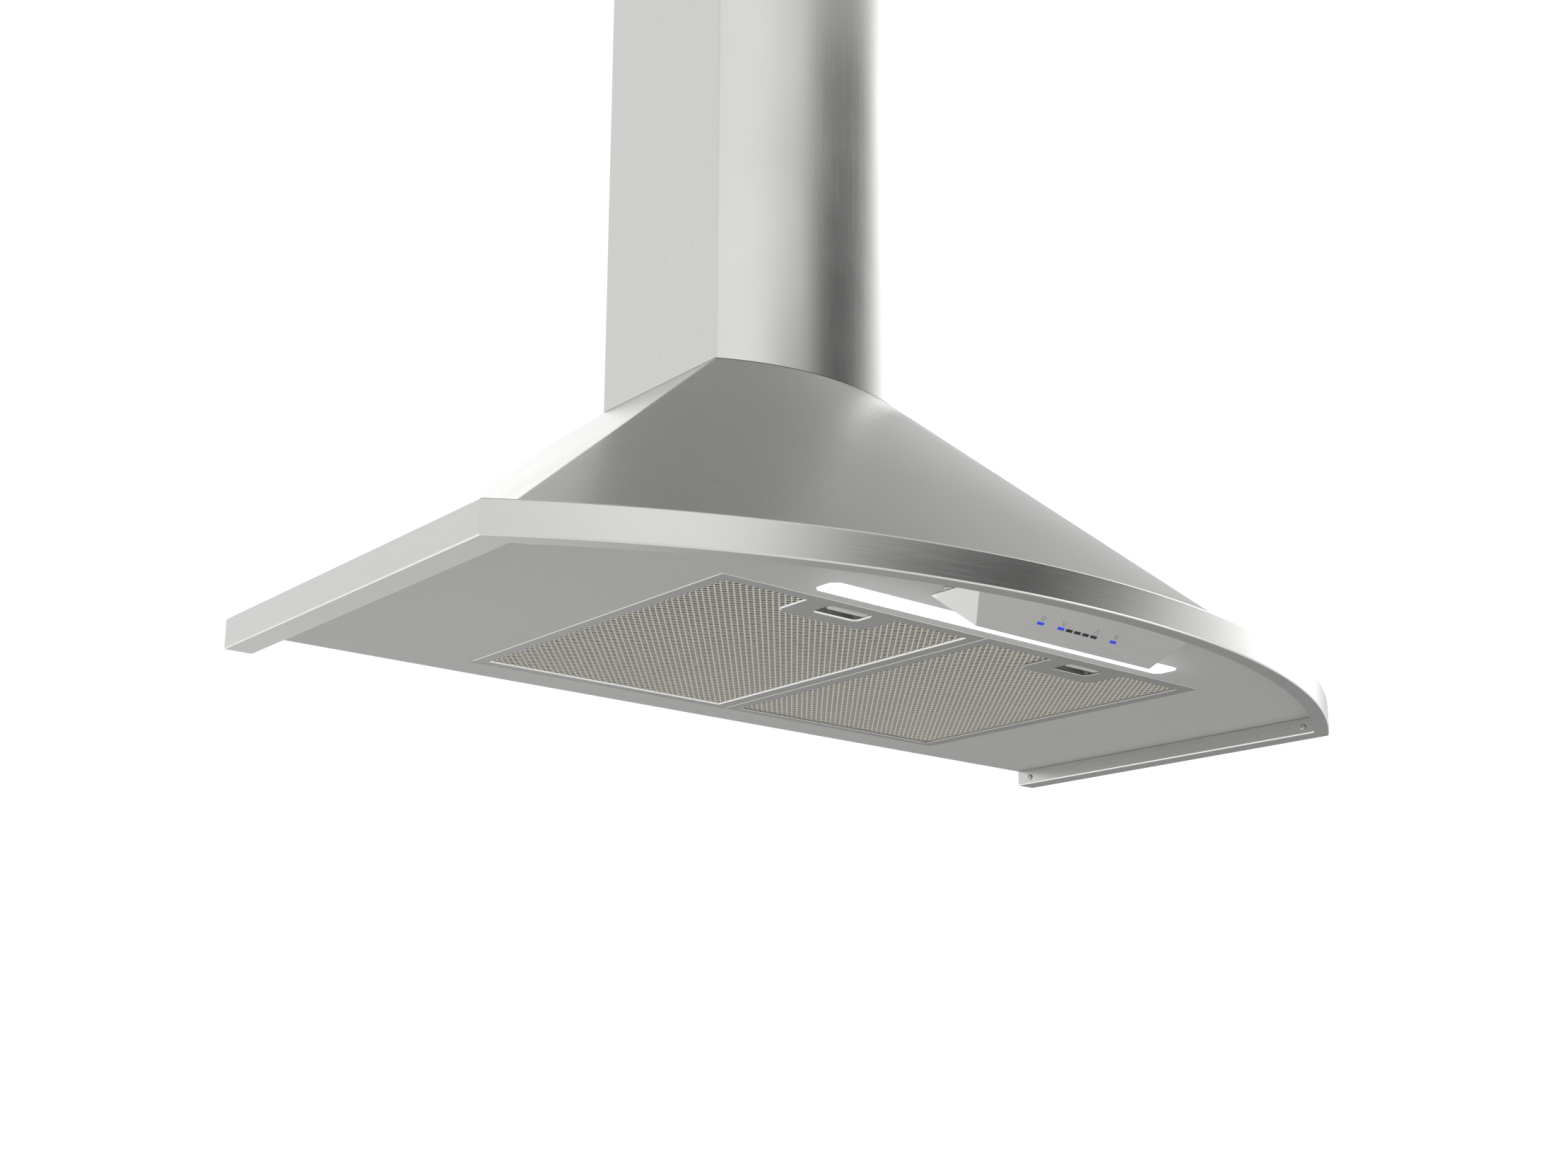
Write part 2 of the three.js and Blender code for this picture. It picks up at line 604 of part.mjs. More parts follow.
/** Double-inlet drum: middle plate, curved row of blades and two end rings. */
function impeller() {
  let drum = rod('x', DRUM.plateRadius, -DRUM.plate / 2, DRUM.plate / 2, axle, 40)
    .add(rod('x', DRUM.hub, -DRUM.plate / 2, DRUM.hubEnd, axle, 24));
  [-1, 1].forEach((s) => {
    const edges = [s * DRUM.half, s * (DRUM.half - DRUM.ring)].sort((a, b) => a - b);
    drum = drum.add(rod('x', DRUM.radius, ...edges, axle, 40)
      .subtract(rod('x', DRUM.ringInner, edges[0] - 1, edges[1] + 1, axle, 40)));
  });
  for (let i = 0; i < DRUM.blades; i += 1) {
    const blade = new THREE.BoxGeometry(2 * DRUM.half - 1, DRUM.radius - DRUM.inner - 1, DRUM.blade);
    blade.rotateX(DRUM.lean);
    blade.translate(0, (DRUM.radius + DRUM.inner) / 2, 0);
    blade.rotateX((2 * Math.PI * i) / DRUM.blades);
    blade.translate(0, BLOWER.y, BLOWER.z);
    drum = drum.add(solid(blade));
  }
  return drum.subtract(rod('x', MOTOR.shaft + GAP, -PAST * 3, PAST * 4, axle, 16));
}

/** Angle that fixes the casing to the back sheet. */
function blowerBracket(s) {
  const { xs, sheet, zs, armZs, armGap } = BLOWER_ANGLE;
  const span = s < 0 ? [-xs[1], -xs[0]] : xs;
  const rear = -CANOPY_WALL - GAP;
  return box(span, [rear - sheet, rear], zs)
    .add(box(span, [BLOWER.y + BLOWER.small + armGap, rear], armZs));
}

function capacitor() {
  const at = [0, CAPACITOR.y, CAPACITOR.z];
  return rod('x', CAPACITOR.radius, ...CAPACITOR.xs, at, 24)
    .add(rod('x', CAPACITOR.stud, ...CAPACITOR.studXs, at, 12));
}

// ---------------------------------------------------------------- outlet collar and damper

const DAMPER_Z = DECK_TOP + DAMPER.lift;
const hinge = [0, COLLAR.y, DAMPER_Z];

function outletCollar() {
  const foot = DECK_TOP + GAP;
  const at = [0, COLLAR.y, 0];
  return rod('z', COLLAR.flange, foot, foot + COLLAR.wall, at, 48)
    .add(rod('z', COLLAR.radius, foot, foot + COLLAR.height, at, 48))
    .subtract(rod('z', COLLAR.radius - COLLAR.wall, foot - 1, foot + COLLAR.height + 1, at, 48))
    .subtract(rod('x', DAMPER.pin + GAP, -RIM.half, RIM.half, hinge, 16));
}

function damperPin() {
  return rod('x', DAMPER.pin, -COLLAR.radius + GAP, COLLAR.radius - GAP, hinge, 16);
}

/** Half-round flap with knuckles on the pin; s is -1 for the front flap and 1 for the rear. */
function damperFlap(s) {
  const low = DAMPER_Z - DAMPER.sheet / 2;
  const high = DAMPER_Z + DAMPER.sheet / 2;
  const root = COLLAR.y + s * DAMPER.root;
  const far = COLLAR.y + s * COLLAR.flange;
  const order = (a, b) => [Math.min(a, b), Math.max(a, b)];
  let flap = rod('z', DAMPER.radius, low, high, [0, COLLAR.y, 0], 48)
    .intersect(box([-DAMPER.radius, DAMPER.radius], order(root, far), [low - 1, high + 1]));
  const knuckles = s < 0 ? KNUCKLES.front : KNUCKLES.rear;
  knuckles.forEach((xs) => {
    flap = flap.add(rod('x', DAMPER.knuckle, ...xs, hinge, 16))
      .add(box(xs, order(COLLAR.y + s * DAMPER.web, root + s), [low, high]));
  });
  return flap.subtract(rod('x', DAMPER.pin + GAP, -RIM.half, RIM.half, hinge, 16));
}

// ---------------------------------------------------------------- duct covers

/** Three-sided sheet cover with a narrow hem along each rear edge. */
function ductCover(outline, wall, foot, top, hem, rear) {
  const inner = plate(bow(inset(outline, wall), PAST), foot - 1, top + 1);
  const sheet = plate(bow(outline, rear), foot, top).subtract(inner);
  const hems = [-1, 1].map((s) => {
    const xs = [s * outline.half, s * (outline.half - hem)].sort((a, b) => a - b);
    return box(xs, [rear - wall, rear], [foot, top]);
  });
  return sheet.add(hems[0]).add(hems[1]);
}

function lowerCover() {
  return ductCover(LOWER_COVER, LOWER_COVER.wall, LOWER_COVER.foot, LOWER_COVER.top, LOWER_COVER.hem, 0);
}

function upperCover() {
  const outline = inset(LOWER_COVER, UPPER_COVER.nest);
  const { wall, foot, top, hem, hemY } = UPPER_COVER;
  return ductCover(outline, wall, foot, top, hem, hemY + wall);
}

/** Wall bracket inside the covers with an ear on each side. */
function coverBracket() {
  const { half, sheet, ear, zs, holeX, hole } = COVER_BRACKET;
  const middle = (zs[0] + zs[1]) / 2;
  return box([-half, half], [-sheet, 0], zs)
    .add(box([-half, -half + sheet], [-ear, 0], zs))
    .add(box([half - sheet, half], [-ear, 0], zs))
    .subtract(rod('y', hole, -PAST, PAST, [-holeX, 0, middle], 16))
    .subtract(rod('y', hole, -PAST, PAST, [holeX, 0, middle], 16));
}

// ---------------------------------------------------------------- wiring boxes and screws

function junctionBox() {
  const { xs, ys, zs, wall, entry } = JUNCTION;
  const hollow = [[xs[0] + wall, xs[1] - wall], [ys[0] - 1, ys[1] - wall], [zs[0] + wall, zs[1] - wall]];
  return tray([xs, ys, zs], hollow)
    .subtract(rod('z', entry, zs[1] - PAST, zs[1] + PAST, [GLAND.x, GLAND.y, 0], 20));
}

function junctionCover() {
  const { xs, ys, zs, wall } = JUNCTION;
  return box(xs, [ys[0] - GAP - wall, ys[0] - GAP], zs);
}

/** Screwed cable entry on top of the junction box, empty: the lead isn't part of the hood. */
function cableGland() {
  const z = JUNCTION.zs[1];
  const at = [GLAND.x, GLAND.y, 0];
  return rod('z', GLAND.nut, z + GAP, z + GLAND.nutTop, at, 6)
    .add(rod('z', GLAND.cap, z + GLAND.nutTop - 1, z + GLAND.capTop, at, 20))
    .add(rod('z', GLAND.thread, z - GLAND.under, z + 1, at, 20))
    .subtract(rod('z', GLAND.bore, z - 2 * GLAND.under, z + 2 * GLAND.capTop, at, 16));
}

function driverBox() {
  const { xs, ys, zs, ear, earInset, earSheet } = DRIVER;
  const earYs = [ys[0] + earInset, ys[1] - earInset];
  return box(xs, ys, zs).add(box([xs[0] - ear, xs[1] + ear], earYs, [zs[0], zs[0] + earSheet]));
}

/** Pan-head screw along X; the head's seat is at x and the head points towards the middle. */
function sideScrew(s, y) {
  const seat = s * RIM_INSIDE.half;
  const order = (a, b) => [Math.min(a, b), Math.max(a, b)];
  const at = [0, y, RIM_SCREW.z];
  const under = seat - s * GAP;
  const face = under - s * SCREW.headDepth;
  return rod('x', SCREW.head, ...order(face, under), at, 20)
    .add(rod('x', SCREW.shank, ...order(under - s * 0.5, seat + s * SCREW.length), at, 12))
    .subtract(rod('x', SCREW.socket, ...order(face - s, face + s * 0.9), at, 6));
}

/** Pan-head screw up through the panel beside the control housing. */
function panelScrew(s) {
  const at = [s * CONTROL_SCREW_X, CONTROL.ridgeY, 0];
  const under = PANEL.z - GAP;
  const face = under - SCREW.headDepth;
  return rod('z', SCREW.head, face, under, at, 20)
    .add(rod('z', SCREW.shank, under - 0.5, PANEL.z + SCREW.length, at, 12))
    .subtract(rod('z', SCREW.socket, face - 1, face + 0.9, at, 6));
}

// ---------------------------------------------------------------- put it together

const SIDES = { left: -1, right: 1 };

add('rim_band', rimBand(), BRUSHED);
add('canopy_shell', canopyShell(), BRUSHED);
add('canopy_top_deck', topDeck(), GALVANISED);
add('back_plate', backPlate(), GALVANISED);
add('underside_panel', undersidePanel(), PANEL_STEEL);
add('filter_bay_frame', bayFrame(), GALVANISED);

Object.entries(SIDES).forEach(([side, s]) => {
  add(`hanger_plate_${side}`, hangerPlate(s), GALVANISED);
  add(`filter_frame_${side}`, filterFrame(s), ALUMINIUM);
  add(`filter_pack_${side}`, filterPack(s), ALUMINIUM);
  add(`latch_pull_${side}`, latchPull(s), ALUMINIUM);
  add(`latch_tongue_${side}`, latchTongue(s), SCREW_STEEL);
  add(`blower_bracket_${side}`, blowerBracket(s), GALVANISED);
  add(`scroll_half_${side}`, scrollHalf(s), GALVANISED);
  add(`control_screw_${side}`, panelScrew(s), SCREW_STEEL);
  Object.entries(RIM_SCREW.ys).forEach(([place, y]) => {
    add(`rim_screw_${side}_${place}`, sideScrew(s, y), SCREW_STEEL);
  });
});

add('light_lens', lightLens(), OPAL);
add('light_tray', lightTray(), GALVANISED);
add('led_strip', ledStrip(), BOARD_GREEN);
add('light_driver', driverBox(), BLACK_PLASTIC);

add('control_housing', controlHousing(), BRUSHED);
add('control_board', controlBoard(), BOARD_GREEN);
Object.entries(BAR_PLACES).forEach(([name, x]) => {
  const lit = ['power_indicator', 'fan_bar_1', 'light_indicator'].includes(name);
  add(name, indicatorBar(x), lit ? BLUE_BAR : DARK_BAR);
});

add('motor_bracket', motorBracket(), GALVANISED);
add('inlet_ring', inletRing(), BLACK_PLASTIC);
add('motor_body', motorBody(), MOTOR_STEEL);
add('motor_shaft', motorShaft(), SCREW_STEEL);
add('impeller', impeller(), GALVANISED);
add('motor_capacitor', capacitor(), GREY_PLASTIC);

add('outlet_collar', outletCollar(), BLACK_PLASTIC);
add('damper_pin', damperPin(), SCREW_STEEL);
add('damper_flap_front', damperFlap(-1), BLACK_PLASTIC);
add('damper_flap_rear', damperFlap(1), BLACK_PLASTIC);

add('lower_duct_cover', lowerCover(), BRUSHED);
add('upper_duct_cover', upperCover(), BRUSHED);
add('cover_bracket', coverBracket(), GALVANISED);

add('junction_box', junctionBox(), BLACK_PLASTIC);
add('junction_cover', junctionCover(), BLACK_PLASTIC);
add('cable_gland', cableGland(), BLACK_PLASTIC);

export default hood;
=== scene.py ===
"""Looks of a wall chimney range hood with a bowed front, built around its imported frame.

Everything is in metres: +Z is up, the front faces -Y and the wall is the plane y = 0.
"""

import logging
import math
from dataclasses import dataclass, field, replace
from enum import Enum
from typing import Callable, Sequence, Union

import bmesh
import bpy
from mathutils import Matrix, Vector


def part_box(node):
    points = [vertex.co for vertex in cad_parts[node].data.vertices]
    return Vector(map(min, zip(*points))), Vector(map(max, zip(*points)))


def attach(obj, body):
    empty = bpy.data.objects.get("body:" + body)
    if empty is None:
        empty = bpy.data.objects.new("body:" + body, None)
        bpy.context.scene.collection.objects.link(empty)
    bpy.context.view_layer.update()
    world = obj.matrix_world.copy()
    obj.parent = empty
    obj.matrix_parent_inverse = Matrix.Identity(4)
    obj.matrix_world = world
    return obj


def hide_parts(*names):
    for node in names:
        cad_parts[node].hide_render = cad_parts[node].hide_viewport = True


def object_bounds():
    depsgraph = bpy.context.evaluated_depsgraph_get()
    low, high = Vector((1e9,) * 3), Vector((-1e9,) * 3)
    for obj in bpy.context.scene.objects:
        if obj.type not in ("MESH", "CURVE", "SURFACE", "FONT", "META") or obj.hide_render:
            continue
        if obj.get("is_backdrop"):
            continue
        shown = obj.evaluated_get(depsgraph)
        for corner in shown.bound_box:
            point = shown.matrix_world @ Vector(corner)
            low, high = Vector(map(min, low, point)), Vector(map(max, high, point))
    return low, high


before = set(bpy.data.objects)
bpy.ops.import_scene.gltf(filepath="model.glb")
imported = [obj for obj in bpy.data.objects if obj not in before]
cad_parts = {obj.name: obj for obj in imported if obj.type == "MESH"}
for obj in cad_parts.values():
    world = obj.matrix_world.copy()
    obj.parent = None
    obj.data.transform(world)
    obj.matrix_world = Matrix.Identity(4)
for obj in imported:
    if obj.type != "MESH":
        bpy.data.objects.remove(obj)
CAD_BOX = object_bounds()

LOG = logging.getLogger("hood")
SHARP_ANGLE = math.radians(38)
SOFTENED_ANGLE = math.radians(30)
NORMAL_WEIGHT = 60
MERGE_DISTANCE = 1e-6
GAP = 0.0003
COVER_NEST = 0.0022
FOLD_SLANTS = (0.08, 0.3)
LEVEL_SLANTS = (0.85, 0.98)
Colour = tuple[float, float, float]


# ---- shader expressions


class Signal:
    """A shader socket on which Python's operators add Math nodes."""

    def __init__(self, shader: "Shader", socket: bpy.types.NodeSocket) -> None:
        """Wraps one output socket of a shader's tree."""
        self.shader = shader
        self.socket = socket

    def __add__(self, other: "Value") -> "Signal":
        """self + other"""
        return self.shader.math("ADD", self, other)

    def __rsub__(self, other: "Value") -> "Signal":
        """other - self"""
        return self.shader.math("SUBTRACT", other, self)

    def __mul__(self, other: "Value") -> "Signal":
        """self * other"""
        return self.shader.math("MULTIPLY", self, other)

    __radd__ = __add__
    __rmul__ = __mul__

    def ramp(self, low: float, high: float) -> "Signal":
        """Rises smoothly from 0 where the signal is low to 1 where it is high."""
        inputs = {"Value": self, "From Min": low, "From Max": high}
        return self.shader.signal("ShaderNodeMapRange", {"interpolation_type": "SMOOTHSTEP"}, inputs)


Value = Union[Signal, float, Sequence[float]]


class Shader:
    """A node tree under construction, for a material or for the world."""

    def __init__(self, tree: bpy.types.NodeTree) -> None:
        """Empties the tree.

        Args:
            tree: the node tree of a material or of the world.
        """
        self.tree = tree
        self.tree.nodes.clear()

    def node(self, kind: str, settings: dict | None = None, inputs: dict | None = None) -> bpy.types.Node:
        """Adds any node.

        Args:
            kind: the node's type name.
            settings: its own properties, which are set first.
            inputs: values or signals for its sockets, by name or number.

        Returns:
            The new node.
        """
        made = self.tree.nodes.new(kind)
        for name, value in (settings or {}).items():
            setattr(made, name, value)
        for name, value in (inputs or {}).items():
            if isinstance(value, Signal):
                self.tree.links.new(value.socket, made.inputs[name])
            else:
                made.inputs[name].default_value = value
        return made

    def signal(
        self, kind: str, settings: dict | None = None, inputs: dict | None = None, output: int | str = 0
    ) -> Signal:
        """One output of a new node."""
        return Signal(self, self.node(kind, settings, inputs).outputs[output])

    def cover(self, sockets: dict) -> None:
        """Ends a material's tree with a Principled surface that has these values or signals."""
        surface = self.signal("ShaderNodeBsdfPrincipled", inputs=sockets)
        self.node("ShaderNodeOutputMaterial", inputs={"Surface": surface})

    def math(self, operation: str, first: Value, second: Value = 0.0) -> Signal:
        """The Math node's result for one or two values."""
        return self.signal("ShaderNodeMath", {"operation": operation}, {0: first, 1: second})

    def place(self, output: str = "Object") -> Signal:
        """A texture coordinate: the place on a piece, or the direction in the world."""
        return self.signal("ShaderNodeTexCoord", output=output)

    def noise(self, scale: float, squeeze: Sequence[float] = (1, 1, 1), detail: float = 2.0) -> Signal:
        """Noise from 0 to 1 over a piece.

        Args:
            scale: features in a metre.
            squeeze: how many times finer it is along each axis.
            detail: how many finer layers it has.

        Returns:
            The noise.
        """
        sides = {0: self.place(), 1: squeeze}
        squeezed = self.signal("ShaderNodeVectorMath", {"operation": "MULTIPLY"}, sides)
        inputs = {"Vector": squeezed, "Scale": scale, "Detail": detail}
        return self.signal("ShaderNodeTexNoise", inputs=inputs)

    def cells(self, scale: float) -> Signal:
        """A grey level of its own, from 0 to 1, for each crystal of a plated surface."""
        inputs = {"Vector": self.place(), "Scale": scale}
        colour = self.signal("ShaderNodeTexVoronoi", inputs=inputs, output="Color")
        return self.signal("ShaderNodeSeparateColor", inputs={0: colour})

    def part(self, vector: Signal, axis: int) -> Signal:
        """One component of a vector."""
        return self.signal("ShaderNodeSeparateXYZ", inputs={0: vector}, output=axis)

    def folds(self) -> Signal:
        """1 on the rounded edges of a piece whose walls are upright and level, and 0 elsewhere: where a
        painted highlight goes.
        """
        slant = self.math("ABSOLUTE", self.part(self.place("Normal"), 2))
        return slant.ramp(*FOLD_SLANTS) * (1.0 - slant.ramp(*LEVEL_SLANTS))

    def blend(self, share: Value, first: Union[Signal, Colour], second: Union[Signal, Colour]) -> Signal:
        """The colour between two colours at a share from 0 to 1."""
        sides = [end if isinstance(end, Signal) else (*end, 1.0) for end in (first, second)]
        inputs = {0: share, 6: sides[0], 7: sides[1]}
        return self.signal("ShaderNodeMix", {"data_type": "RGBA"}, inputs, 2)

    def bump(self, height: Signal, strength: float, distance: float) -> Signal:
        """Normals that a height in metres times distance would give."""
        inputs = {"Height": height, "Strength": strength, "Distance": distance}
        return self.signal("ShaderNodeBump", inputs=inputs)


def shaded(colour: Colour, factor: float) -> Colour:
    """A colour made lighter or darker by a factor."""
    return tuple(min(1.0, channel * factor) for channel in colour)


# ---- finishes


class Grain(Enum):
    """How finely a brushed sheet's streaks are squeezed along each axis."""

    LEVEL = (1.0, 1.0, 60.0)
    UPRIGHT = (60.0, 60.0, 1.0)
    SIDEWAYS = (1.0, 60.0, 60.0)


@dataclass(frozen=True)
class Layer:
    """A pattern in a surface's texture.

    Attributes:
        scale: features in a metre.
        shares: how much it adds to the tint, to the roughness and to the height.
        detail: how many finer layers the noise has, or -1 for crystals instead of noise.
        squeeze: how many times finer it is along each axis.
        edges: the levels between which it is sharpened, if it is.
    """

    scale: float
    shares: tuple[float, float, float]
    detail: float = 2.0
    squeeze: tuple[float, float, float] = (1.0, 1.0, 1.0)
    edges: tuple[float, ...] = ()

    def signal(self, shader: Shader) -> Signal:
        """The pattern from 0 to 1."""
        if self.detail < 0.0:
            return shader.cells(self.scale)
        noise = shader.noise(self.scale, self.squeeze, self.detail)
        return noise.ramp(*self.edges) if self.edges else noise


@dataclass(frozen=True)
class Texture:
    """What a kind of surface does to a finish.

    Attributes:
        layers: its patterns.
        shades: the factors between which the colour varies.
        smoothing: what the patterns add to the roughness on average.
        relief: strength and distance of its height.
    """

    layers: tuple[Layer, ...]
    shades: tuple[float, float]
    smoothing: float
    relief: tuple[float, float]

    def signals(self, shader: Shader) -> list[Signal]:
        """The layers' sums for the tint, the roughness and the height."""
        patterns = [(layer.shares, layer.signal(shader)) for layer in self.layers]
        sums = []
        for way in range(3):
            parts = [signal * shares[way] for shares, signal in patterns if shares[way]]
            sums.append(sum(parts[1:], parts[0]))
        return sums

    def tint(self, shader: Shader, share: Signal, colour: Colour) -> Signal:
        """A colour that varies between the shades with a share."""
        return shader.blend(share, *[shaded(colour, shade) for shade in self.shades])


@dataclass(frozen=True)
class Finish:
    """A finish with the record's slot that it belongs to.

    Attributes:
        name: the material's name.
        slot: the record's slot.
        colour: the middle of its tints.
        roughness: the middle of its roughness.
        texture: its texture.
        metallic: 1 for bare metal.
        highlight_gain: how many times lighter its folds are painted, a painted highlight along its rounded
            edges.
        glow: the colour of its own light.
        strength: how strong that light is.
    """

    name: str
    slot: str
    colour: Colour
    roughness: float
    texture: Texture
    metallic: float = 0.0
    highlight_gain: float = 1.0
    glow: Colour = (0.0, 0.0, 0.0)
    strength: float = 0.0

    def material(self) -> bpy.types.Material:
        """The finish's material, made the first time it is asked for."""
        found = bpy.data.materials.get(self.name)
        if found:
            return found
        made = bpy.data.materials.new(self.name)
        made.use_nodes = True
        shader = Shader(made.node_tree)
        shader.cover(self.surface(shader))
        return made

    def surface(self, shader: Shader) -> dict:
        """The surface's sockets: values or signals by socket name."""
        share, rough, height = self.texture.signals(shader)
        tint = self.texture.tint(shader, share, self.colour)
        # Painted highlight: the folds get a lighter colour in place of the bright lines that light draws
        # along them.
        if self.highlight_gain > 1.0:
            tint = shader.blend(shader.folds(), tint, shaded(self.colour, self.highlight_gain))
        sockets = {
            "Base Color": tint,
            "Metallic": self.metallic,
            "Roughness": rough + (self.roughness - self.texture.smoothing),
            "Normal": shader.bump(height, *self.texture.relief),
        }
        if self.strength:
            sockets["Emission Color"] = self.texture.tint(shader, share, self.glow)
            sockets["Emission Strength"] = self.strength
        return sockets


@dataclass(frozen=True)
class StrandFinish(Finish):
    """Expanded metal with bright strands and painted shade that darkens them towards its holes."""

    # Colour of the painted shade at the strands' hole edges, which also covers the whole upper net.
    hole_shade: Colour = (0.42, 0.4, 0.35)
    base: float = 0.0
    lift: float = 0.0004
    # Share of the lift below which the strands keep their colour, free of painted shade.
    unshaded: float = 0.2

    def surface(self, shader: Shader) -> dict:
        """The plain surface, with painted shade that darkens the colour as the strands rise towards the
        holes.
        """
        sockets = super().surface(shader)
        height = shader.part(shader.place(), 2)
        # Painted shade: the strands darken as they rise into the pack, towards the holes.
        depth = height.ramp(self.base + self.unshaded * self.lift, self.base + self.lift)
        sockets["Base Color"] = shader.blend(depth, sockets["Base Color"], self.hole_shade)
        return sockets


def brushed(grain: Grain, contrast: float) -> Texture:
    """Fine and broad streaks along a grain, with faint handling marks.

    Args:
        grain: the way of the streaks.
        contrast: how much they darken and lighten the colour.

    Returns:
        The texture.
    """
    layers = (
        Layer(45.0, (0.55, 0.066, 0.55), 1.0, grain.value),
        Layer(9.0, (0.45, 0.054, 0.45), 2.0, grain.value),
        Layer(7.0, (0.0, 0.05, 0.0), 4.0, edges=(0.35, 0.75)),
    )
    return Texture(layers, (1.0 - contrast, 1.0 + contrast), 0.08, (0.08, 0.0002))


CRYSTALS = Texture((
    Layer(110.0, (0.7, 0.154, 0.0), -1.0),
    Layer(320.0, (0.3, 0.066, 0.0), -1.0),
    Layer(30.0, (0.0, 0.1, 1.0), 3.0),
), (0.78, 1.18), 0.15, (0.2, 0.0006))
CAST = Texture((
    Layer(1400.0, (0.3, 0.12, 1.0)),
    Layer(24.0, (0.7, 0.12, 0.0), 5.0),
), (0.88, 1.12), 0.12, (0.25, 0.0001))
MOULDED = Texture((
    Layer(2200.0, (0.0, 0.1, 1.0)),
    Layer(40.0, (1.0, 0.1, 0.0), 5.0, (1.0, 1.0, 3.0), (0.45, 0.8)),
), (1.0, 1.35), 0.08, (0.3, 0.0001))
SMOOTH = replace(MOULDED, relief=(0.05, 0.0001))
DIFFUSING = Texture((Layer(90.0, (1.0, 0.1, 1.0), 3.0),), (0.94, 1.0), 0.05, (0.05, 0.0002))
TRACKS = Texture((
    Layer(160.0, (1.0, 0.1, 1.0), 0.0, (1.0, 5.0, 1.0), (0.48, 0.52)),
), (1.0, 1.9), 0.0, (0.3, 0.0001))

STEEL: Colour = (0.62, 0.62, 0.605)
LEVEL_GRAIN = brushed(Grain.LEVEL, 0.06)
SATIN_GRAIN = brushed(Grain.SIDEWAYS, 0.04)
LEVEL_STEEL = Finish("steel_level_grain", "brushed_steel", STEEL, 0.27, LEVEL_GRAIN, 1.0)
# The rim's folds carry a painted highlight at 1.5 times its colour.
RIM_STEEL = Finish("steel_bright_folds", "brushed_steel", STEEL, 0.27, LEVEL_GRAIN, 1.0, 1.5)
UPRIGHT_STEEL = Finish(
    "steel_upright_grain", "brushed_steel", STEEL, 0.25, brushed(Grain.UPRIGHT, 0.06), 1.0
)
PANEL_STEEL = Finish("satin_panel", "panel_steel", (0.53, 0.53, 0.52), 0.5, SATIN_GRAIN, 0.35)
# The frame's folds carry a painted highlight at 2.05 times its colour.
FRAME_ALUMINIUM = Finish(
    "frame_aluminium", "filter_aluminium", (0.47, 0.47, 0.455), 0.42, SATIN_GRAIN, 1.0, 2.05
)
# The mesh's strands carry painted shade towards their holes.
MESH_ALUMINIUM = StrandFinish(
    "mesh_aluminium", "filter_aluminium", (0.8, 0.77, 0.7), 0.38, CAST, 1.0,
    base=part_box("filter_pack_left")[0].z,
)
# Near-black colour of the pack's inner layers: painted shade between the nets.
SHADED_LAYERS = Finish("shaded_layers", "filter_aluminium", (0.09, 0.083, 0.07), 0.6, CAST, 1.0)
PULL_ALUMINIUM = Finish("pull_aluminium", "filter_aluminium", (0.95, 0.94, 0.91), 0.45, CAST, 1.0)
ZINC = Finish("zinc_sheet", "galvanised_sheet", (0.55, 0.57, 0.58), 0.42, CRYSTALS, 0.9)
BLACK = Finish("black_moulding", "black_plastic", (0.025, 0.026, 0.028), 0.5, MOULDED)
GREY = Finish("grey_moulding", "grey_plastic", (0.2, 0.21, 0.22), 0.5, MOULDED)
SYMBOL = Finish("printed_symbol", "grey_plastic", (0.2, 0.2, 0.19), 0.5, SMOOTH)
LIT_BLUE = Finish(
    "lit_blue_window", "blue_bar", (0.004, 0.012, 0.12), 0.3, DIFFUSING,
    glow=(0.006, 0.03, 0.62), strength=1.0,
)
DARK_WINDOW = Finish("dark_window", "dark_bar", (0.003, 0.003, 0.0035), 0.3, SMOOTH)
OPAL = Finish(
    "lit_opal", "opal_lens", (0.9, 0.9, 0.88), 0.4, DIFFUSING, glow=(1.0, 1.0, 0.99), strength=1.25
)
BOARD = Finish("board_mask", "circuit_board", (0.02, 0.12, 0.05), 0.3, TRACKS)
MOTOR = Finish("motor_lamination", "motor_steel", (0.12, 0.13, 0.14), 0.45, CAST, 0.7)
PLATED = Finish("plated_steel", "screw_steel", (0.6, 0.6, 0.58), 0.25, CAST, 1.0)


# ---- outlines and blanks


@dataclass(frozen=True)
class Bow:
    """A plan outline with straight sides and a bowed front.

    Attributes:
        half: half its width.
        side: length of each straight side, from the wall forwards.
        rise: how far the bowed front stands beyond the sides.
    """

    half: float
    side: float
    rise: float

    @classmethod
    def of(cls, node: str, rise: float) -> "Bow":
        """The outline of a node that is bowed by a rise.

        Args:
            node: a frame node that reaches from the wall to the outline's front.
            rise: how far its bow stands proud.

        Returns:
            The outline.
        """
        low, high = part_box(node)
        return cls(high.x, -low.y - rise, rise)

    @property
    def radius(self) -> float:
        """The bow's radius."""
        return (self.half**2 + self.rise**2) / (2 * self.rise)

    @property
    def centre(self) -> float:
        """The y of the bow's centre."""
        return self.radius - self.side - self.rise

    def inset(self, distance: float) -> "Bow":
        """The outline moved in by a distance on all its sides."""
        radius = self.radius - distance
        half = self.half - distance
        fall = math.sqrt(radius**2 - half**2)
        return Bow(half, fall - self.centre, radius - fall)

    def points(self, z: float, rear: float = 0.0, steps: int = 96) -> list[Vector]:
        """Points from the left rear corner round the front to the right one.

        Args:
            z: their height.
            rear: the y at which the sides end.
            steps: straight pieces in the bow.

        Returns:
            The points.
        """
        reach = math.asin(self.half / self.radius)
        front = []
        for step in range(steps + 1):
            angle = reach * (2 * step / steps - 1)
            y = self.centre - self.radius * math.cos(angle)
            front.append(Vector((self.radius * math.sin(angle), y, z)))
        return [Vector((-self.half, rear, z)), *front, Vector((self.half, rear, z))]


def rectangle(low: Vector, high: Vector, z: float) -> list[Vector]:
    """The corners of a level rectangle, counter-clockwise from its low corner."""
    corners = [(low.x, low.y), (high.x, low.y), (high.x, high.y), (low.x, high.y)]
    return [Vector((x, y, z)) for x, y in corners]


